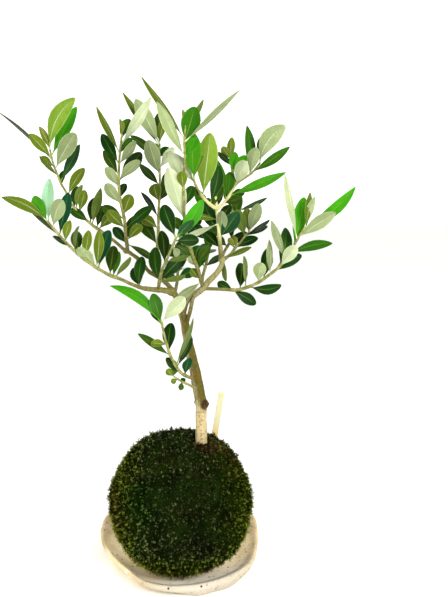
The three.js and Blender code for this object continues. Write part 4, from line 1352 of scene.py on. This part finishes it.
def upper_of(onward, stem, from_front):
    """Which way a blade's upper face looks: to the stem's tip and the front, or as it is given"""
    front = (FRONT - onward * FRONT.dot(onward)).normalized()
    if from_front is not None:
        return Matrix.Rotation(math.radians(from_front), 3, onward) @ front
    facing = clamp(FACING_RATE * onward.y, -MOST_FACING, MOST_FACING)
    upper = stem * (1 - abs(facing))
    upper.y -= facing
    upper = (upper - onward * upper.dot(onward)).normalized()
    return (upper + front * FURTHER_FACING * math.copysign(1, upper.dot(front))).normalized()


def leaf_numbers(line, row, number):
    """How one leaf lies: its root, directions, size, bend and colours"""
    place, x, y, z, width, tone, *lie = row
    from_front = lie[0] if lie else None
    bow = lie[1] if len(lie) > 1 else 0
    reach = Vector((x, y, z))
    length = reach.length
    onward = reach.normalized()
    upper = upper_of(onward, line.tangent(place), from_front)
    side_up = 1 if (tone in TONES_ABOVE) == (upper.dot(FRONT) > 0) else -1
    upper = upper * side_up
    slender = clamp((length - 18) / 24, 0, 1)
    pointed = clamp((length / width - 3) / 2.2, 0, 1)
    hollow = LEAST_HOLLOW + MORE_HOLLOW * draw(number) - SLENDER_FLATTER * slender
    ease = GIVEN_TURN_EASE if lie else 1
    bend = FRONT.cross(onward).normalized() * bow
    arch = side_up * length * hollow * ease + bend.dot(upper)
    twist = MOST_TWIST * (2 * draw(number + 0.31) - 1) * ease
    sway = side_up * length * MOST_SWAY * (2 * draw(number + 0.57) - 1) * ease
    sway += bend.dot(onward.cross(upper))
    least, most = DARK_LIGHT if tone == "dark" else LIGHT
    light = least + (most - least) * draw(number + 0.13)
    warmth = (DARK_WARMTH if tone == "dark" else MOST_WARMTH) * draw(number + 0.71) ** 2
    warm = Vector(paint(WARM_LEAF))
    top, under = (Vector(paint(colour)).lerp(warm, warmth) for colour in LEAF_TONES[tone])
    return {
        "leaf_root": line.at(place) * MM,
        "leaf_onward": onward,
        "leaf_upper": upper,
        "leaf_size": (length * MM, BLADE_WIDENING * width * MM, arch * MM),
        "leaf_lie": (twist, sway * MM, pointed),
        "leaf_top": (*(part * light for part in top[:3]), 1.0),
        "leaf_under": (*(part * light for part in under[:3]), 1.0),
    }


def shoot_mesh(name, twigs, shoot_number):
    """The stems as lines of edges, and each leaf as a loose point, with what the tree reads"""
    points, edges, radii, youth, leaves = [], [], [], [], []
    for t, twig in enumerate(twigs):
        line = SmoothLine(twig.path)
        steps = math.ceil(line.length / STEM_STEP)
        for i in range(steps + 1):
            u = i / steps
            joint = max(math.exp(-(((u - row[0]) * line.length / JOINT_REACH) ** 2)) for row in twig.leaves)
            if i:
                edges.append((len(points) - 1, len(points)))
            points.append(line.at(u))
            radii.append((along(twig.radii, u) * (STEM_THICKENING + JOINT_THICKENING * joint)) * MM)
            youth.append(u)
        first = shoot_number * DRAWS_FOR_SHOOT + t * DRAWS_FOR_TWIG
        leaves += [leaf_numbers(line, row, first + i) for i, row in enumerate(twig.leaves)]
    stems = len(points)
    points += [leaf["leaf_root"] / MM for leaf in leaves]
    mesh = mesh_of(name, points, [], edges)
    store(mesh, "is_leaf", "BOOLEAN", [i >= stems for i in range(len(points))])
    store(mesh, "stem_radius", "FLOAT", radii + [0.0] * len(leaves))
    store(mesh, "stem_youth", "FLOAT", youth + [0.0] * len(leaves))
    for key, value in leaves[0].items():
        kind, empty = ("FLOAT_COLOR", (0, 0, 0, 1)) if len(value) == 4 else ("FLOAT_VECTOR", (0, 0, 0))
        store(mesh, key, kind, [empty] * stems + [leaf[key] for leaf in leaves])
    return mesh


# What a user can change
def tint(name, description, colour):
    return bpy.props.FloatVectorProperty(
        name=name, description=description, subtype="COLOR", size=4, min=0, max=1, default=paint(colour)
    )


def amount(name, description, default, low, high, unit="NONE"):
    return bpy.props.FloatProperty(
        name=name, description=description, default=default, min=low, max=high, unit=unit
    )


def length(name, description, default, low, high):
    return amount(name, description, default, low, high, "LENGTH")


class DishLook(bpy.types.PropertyGroup):
    clay: tint("Clay", "The dish's wall and lip", (176, 154, 108))
    clay_pale: tint("Pale clay", "The wall's pale patches", (200, 180, 138))
    # Painted light: the whiter front of the wall and lip, kept duller than the inside's white as painted
    # shade over the lip's highlight
    clay_white: tint("White clay", "The lip at the dish's front", (194, 186, 172))
    # The inside's colours are painted paler than the wall's, as painted light against the ball's shade, and
    # whiter still at the front
    bowl: tint("Bowl", "The clay inside the dish", (232, 206, 152))
    bowl_pale: tint("Pale bowl", "The pale patches inside the dish", (244, 226, 186))
    bowl_white: tint("White bowl", "The clay inside the dish's front", (255, 252, 244))
    hollow: tint("Hollows", "The small hollows in the clay", (150, 118, 70))
    grit: tint("Grit", "The dark specks in the clay", (38, 32, 26))
    unevenness: length("Unevenness", "How far the hand left the surface uneven", 0.0007, 0, 0.002)


class MossLook(bpy.types.PropertyGroup):
    # The deep tint is partly the moss's own dark base, partly painted shade in the gaps between the sprigs
    deep: tint("Deep", "The moss between its sprigs", (6, 12, 2))
    green: tint("Green", "The sprigs' lower leaves", (30, 46, 8))
    # Painted rim light: the bright tips at the ball's sides and foot
    tip: tint("Tips", "The sprigs' tips at the ball's sides", (192, 212, 60))
    # The tips' colour in the ball's middle, paled as painted glints
    glint_tip: tint("Flecks", "The sprigs' tips in the ball's middle", (186, 202, 132))
    fresh: tint("Fresh", "The lower leaves of the fresh patch on the left", (20, 62, 8))
    fresh_tip: tint("Fresh tips", "The sprigs' tips in the fresh patch", (112, 176, 66))
    brown: tint("Brown", "The dry patches", (58, 44, 14))
    dry_tip: tint("Dry tips", "The sprigs' tips in the dry patches", (160, 138, 62))
    sprigs: amount("Sprigs", "Sprigs of each of the two long sorts per square metre", 72000.0, 0, 400000.0)
    tufts: amount("Tufts", "Short tufts per square metre", 150000.0, 0, 400000.0)
    seed: bpy.props.IntProperty(name="Seed", description="Another number strews the sprigs anew", default=5)


class SoilLook(bpy.types.PropertyGroup):
    soil: tint("Soil", "The damp soil", (14, 12, 5))
    soil_red: tint("Red soil", "The redder patches", (46, 27, 8))
    soil_light: tint("Grit", "The lighter crumbs", (98, 64, 30))
    crumbs: amount("Crumbs", "Crumbs per square metre", 1600000.0, 0, 4000000.0)


class WoodLook(bpy.types.PropertyGroup):
    bark_pale: tint("Pale bark", "The trunk's bark in the light", (158, 150, 112))
    bark_grey: tint("Grey bark", "The streaks in the bark", (108, 98, 60))
    bark_low: tint("Low bark", "The trunk below its big knot", (186, 166, 122))
    bark_olive: tint("Olive bark", "The bark on the trunk's right", (66, 64, 8))
    bark_rust: tint("Rusty bark", "The rusty streaks on the trunk's right", (106, 76, 14))
    knot: tint("Knot", "The big knot's bare wood", (50, 30, 12))
    stem_old: tint("Old stem", "The stems near the wood", (92, 90, 34))
    stem_young: tint("Young stem", "The stems near their tips", (98, 98, 44))
    stem_pale: tint("Pale stem", "The light side of young stems", (142, 142, 84))
    stem_cream: tint("Cream stem", "The stems round the leader's fork", (196, 190, 134))
    bark_high: tint("High bark", "The limbs' smooth pale bark", (146, 146, 92))
    voxel: length("Fineness", "The size of the trunk's facets", 0.0005, 0.0003, 0.002)


class LeafLook(bpy.types.PropertyGroup):
    rib_top: tint("Upper rib", "The rib on a leaf's upper face", (150, 184, 60))
    rib_under: tint("Lower rib", "The rib on a leaf's lower face", (214, 224, 180))
    half_thickness: length("Half thickness", "Half of a leaf's thickness", 0.00022, 0.0001, 0.001)
    petiole: length("Petiole radius", "The radius of a leaf's stalk", 0.00055, 0.0002, 0.002)
    fold: amount("Fold", "How far the blade's sides rise from its rib", BLADE_FOLD, 0, 1)


class LabelLook(bpy.types.PropertyGroup):
    wood: tint("Wood", "The bare wood", (190, 188, 152))
    wood_streak: tint("Grain", "The wood's grain", (180, 166, 120))
    wood_damp: tint("Damp wood", "The wood near the moss", (206, 164, 92))
    rounding: length("Rounding", "How far the strip's edges are rounded", 0.0003, 0, 0.0008)


class StageLook(bpy.types.PropertyGroup):
    floor: tint("Floor", "The floor's colour", (252, 252, 251))
    sky: amount("Back of the room", "How bright the room is behind the plant", 1.5, 0, 5)
    sky_front: amount("Front of the room", "How bright the room is behind the camera", 0.5, 0, 5)
    key: amount("Window", "The power of the window on the right", 17.0, 0, 200)
    fill: amount("Fill", "The power of the light on the left", 8.0, 0, 200)
    camera: bpy.props.FloatVectorProperty(
        name="Camera", description="Where the camera stands", default=(0.0397, -0.690, 0.3405),
        subtype="TRANSLATION", unit="LENGTH",
    )
    pitch: bpy.props.FloatProperty(
        name="Pitch", description="How far the camera looks down", default=math.radians(9.07),
        subtype="ANGLE",
    )
    lens: amount("Lens", "The camera's focal length in millimetres", 50.4, 10, 200)


class PlantLook(bpy.types.PropertyGroup):
    dish: bpy.props.PointerProperty(type=DishLook, name="Dish", description="The dish's look")
    moss: bpy.props.PointerProperty(type=MossLook, name="Moss", description="The moss's look")
    soil: bpy.props.PointerProperty(type=SoilLook, name="Soil", description="The soil's look")
    wood: bpy.props.PointerProperty(type=WoodLook, name="Wood", description="The trunk's look")
    leaf: bpy.props.PointerProperty(type=LeafLook, name="Leaf", description="The leaves' look")
    label: bpy.props.PointerProperty(type=LabelLook, name="Label", description="The label's look")
    stage: bpy.props.PointerProperty(type=StageLook, name="Stage", description="The stage's look")


# What makes the pieces
class MakeDish(bpy.types.Operator):
    """Form the clay dish"""

    bl_idname = "moss_tree.make_dish"
    bl_label = "Dish"

    def execute(self, context):
        look = context.scene.moss_tree.dish
        piece = placed("clay_dish", dish_mesh(look))
        piece.data.materials.append(clay_finish(look))
        finished(piece, "clay", "dish", at=Vector())
        return {"FINISHED"}


class MakeSoil(bpy.types.Operator):
    """Pack the soil ball, with crumbs on its bare collar"""

    bl_idname = "moss_tree.make_soil"
    bl_label = "Soil"

    def execute(self, context):
        look = context.scene.moss_tree.soil
        core = lumpy_ball("soil_core", BALL_RADIUS - MOSS_THICKNESS)
        worked(core, "UNION", [collar("collar", 0, SOIL_TOP, 0.0)])
        hole = placed("hole", mesh_of("hole", *tube(*TRUNK, *HOLE_FACETS, SEAT_GAP)))
        worked(core, "DIFFERENCE", [hole, strip("slot", SEAT_GAP)])
        finish = soil_finish(look)
        core.data.materials.append(finish)
        crumbs = bed_on(core, "soil_crumbs", crumbs_lie)
        crumb = crumb_shape()
        grown(
            crumbs, "Scatter", shape=crumb, count_per_square_metre=look.crumbs, smallest=SMALLEST_CRUMB,
            largest=LARGEST_CRUMB, lean=CRUMB_LEAN, seed=CRUMB_SEED, finish=finish,
        )
        removed(crumb)
        finished(core, "soil", "soil_ball")
        finished(crumbs, "soil")
        return {"FINISHED"}


class MakeMoss(bpy.types.Operator):
    """Wrap the ball in its mat of moss and strew the sprigs over it"""

    bl_idname = "moss_tree.make_moss"
    bl_label = "Moss"

    def execute(self, context):
        look = context.scene.moss_tree.moss
        mat = moss_ball("moss_mat")
        inside = lumpy_ball("inside", BALL_RADIUS - MOSS_THICKNESS + SEAT_GAP)
        opening = collar("opening", SEAT_GAP, OPENING_TOP, COLLAR_ROUGHNESS)
        worked(mat, "DIFFERENCE", [inside, opening, strip("slot", SEAT_GAP)])
        mat.data.materials.append(mat_finish(look))
        finish = moss_finish(look)
        ground = moss_ball("ground")
        worked(ground, "UNION", [collar("raised_ground", 0, COLLAR_TOP, COLLAR_ROUGHNESS)])
        for number, (name, sort) in enumerate(SPRIG_SORTS.items(), 1):
            shape_numbers, count, smallest, largest, lean = sort
            sprig = sprig_shape(*shape_numbers)
            piece = bed_on(ground, name, moss_grows)
            grown(
                piece, "Scatter", shape=sprig, count_per_square_metre=getattr(look, count),
                smallest=smallest, largest=largest, lean=lean, sunk=SPRIGS_SUNK * MM,
                seed=look.seed + SEEDS_APART * number, finish=finish,
            )
            removed(sprig)
            finished(piece, "moss")
        removed(ground)
        finished(mat, "moss", "moss_cover")
        return {"FINISHED"}


class MakeTrunk(bpy.types.Operator):
    """Grow the trunk with its limbs and knots"""

    bl_idname = "moss_tree.make_trunk"
    bl_label = "Trunk"

    def execute(self, context):
        look = context.scene.moss_tree.wood
        piece = placed("olive_trunk", trunk_mesh())
        modified(piece, "REMESH", mode="VOXEL", voxel_size=look.voxel)
        modified(piece, "SMOOTH", iterations=SMOOTHINGS)
        settled(piece)
        shifted(piece.data, bark_relief)
        piece.data.materials.append(bark_finish(look))
        finished(piece, "bark", "trunk")
        return {"FINISHED"}


class MakeLabel(bpy.types.Operator):
    """Cut the plain wooden label"""

    bl_idname = "moss_tree.make_label"
    bl_label = "Label"

    def execute(self, context):
        look = context.scene.moss_tree.label
        piece = strip("plain_label")
        modified(piece, "BEVEL", width=look.rounding, segments=3)
        settled(piece)
        piece.data.materials.append(wood_finish(look))
        finished(piece, "label_wood", "label_stake")
        return {"FINISHED"}


class MakeShoots(bpy.types.Operator):
    """Grow the leafy shoots"""

    bl_idname = "moss_tree.make_shoots"
    bl_label = "Leafy shoots"

    def execute(self, context):
        plant = context.scene.moss_tree
        look = plant.leaf
        upper = leaf_finish(
            "Olive leaf above", "leaf_top", look.rib_top, roughness=0.36, shine=0.05, rib_share=0.2,
            bump=-1.0,
        )
        lower = leaf_finish(
            "Olive leaf below", "leaf_under", look.rib_under, roughness=0.7, shine=0.04, rib_share=0.32,
            bump=1.0,
        )
        stem = stem_finish(plant.wood)
        blade = blade_shape()
        for number, (node, twigs) in enumerate(SHOOTS.items(), 1):
            piece = placed("olive_" + node, shoot_mesh("olive_" + node, twigs, number))
            grown(
                piece, "Olive shoot", blade=blade, stem_sides=STEM_SIDES,
                blade_half_thickness=look.half_thickness, petiole_radius=look.petiole,
                blade_fold=look.fold, stem_finish=stem, upper_finish=upper, lower_finish=lower,
            )
            finished(piece, "leaf", node)
        removed(blade)
        return {"FINISHED"}


class MakeStage(bpy.types.Operator):
    """Set the floor, the soft light and the camera"""

    bl_idname = "moss_tree.make_stage"
    bl_label = "Stage"

    FLOOR_REACH = 4000
    FLOOR_BELOW = 0.2
    WINDOW = ("window", (0.6, -0.95, 0.75), 0.5)
    LEFT_FILL = ("left_fill", (-0.7, -0.8, 0.7), 0.8)
    LIT_PLACE = Vector((0, 0, 0.18))

    def execute(self, context):
        scene = context.scene
        look = scene.moss_tree.stage
        ends = ((-1, -1), (1, -1), (1, 1), (-1, 1))
        corners = [(x * self.FLOOR_REACH, y * self.FLOOR_REACH, -self.FLOOR_BELOW) for x, y in ends]
        floor = placed("floor", mesh_of("floor", corners, [(0, 1, 2, 3)]))
        floor.data.materials.append(Finish("Pale floor", 0.9).done(look.floor))

        scene.world = self.room(look)
        self.lamp(*self.WINDOW, look.key)
        self.lamp(*self.LEFT_FILL, look.fill)

        data = bpy.data.cameras.new("camera")
        data.lens = look.lens
        data.sensor_width = 36
        camera = placed("camera", data)
        camera.location = look.camera
        camera.rotation_euler = (math.pi / 2 - look.pitch, 0, 0)
        scene.camera = camera
        scene.view_settings.view_transform = "Standard"
        return {"FINISHED"}

    def room(self, look):
        """A white room that is brighter behind the plant than behind the camera"""
        world = bpy.data.worlds.new("Soft room")
        world.use_nodes = True
        bench = Bench(world.node_tree)
        _, back, _ = bench.parts(bench.wire("ShaderNodeTexCoord", out="Generated"))
        sky = world.node_tree.nodes["Background"].inputs
        bench.feed(sky["Color"], (1.0, 0.99, 0.97, 1.0))
        bench.feed(sky["Strength"], back.ramp(-0.8, 0.8, look.sky_front, look.sky))
        return world

    def lamp(self, name, place, size, power):
        data = bpy.data.lights.new(name, "AREA")
        data.shape = "DISK"
        data.size = size
        data.energy = power
        lamp = placed(name, data)
        lamp.location = place
        lamp.rotation_euler = (self.LIT_PLACE - Vector(place)).to_track_quat("-Z", "Y").to_euler()


MAKERS = [MakeDish, MakeSoil, MakeMoss, MakeTrunk, MakeLabel, MakeShoots, MakeStage]


class MossTreePanel(bpy.types.Panel):
    """Makes the plant's pieces and changes their looks"""

    bl_label = "Moss Ball Tree"
    bl_idname = "VIEW3D_PT_moss_tree"
    bl_space_type = "VIEW_3D"
    bl_region_type = "UI"
    bl_category = "Moss Ball Tree"

    def draw(self, context):
        layout = self.layout
        for maker in MAKERS:
            layout.operator(maker.bl_idname)
        for name in PlantLook.__annotations__:
            look = getattr(context.scene.moss_tree, name)
            box = layout.box()
            box.label(text=name.capitalize())
            for key in look.__annotations__:
                box.prop(look, key)


LOOKS = [DishLook, MossLook, SoilLook, WoodLook, LeafLook, LabelLook, StageLook]
CLASSES = [*LOOKS, PlantLook, *MAKERS, MossTreePanel]


def register():
    for cls in CLASSES:
        bpy.utils.register_class(cls)
    bpy.types.Scene.moss_tree = bpy.props.PointerProperty(
        type=PlantLook, name="Moss ball tree", description="The plant's looks"
    )


def unregister():
    del bpy.types.Scene.moss_tree
    for cls in reversed(CLASSES):
        bpy.utils.unregister_class(cls)


def main():
    register()
    bpy.ops.moss_tree.make_dish()
    bpy.ops.moss_tree.make_soil()
    bpy.ops.moss_tree.make_moss()
    bpy.ops.moss_tree.make_trunk()
    bpy.ops.moss_tree.make_label()
    bpy.ops.moss_tree.make_shoots()
    bpy.ops.moss_tree.make_stage()


if __name__ == "__main__":
    main()
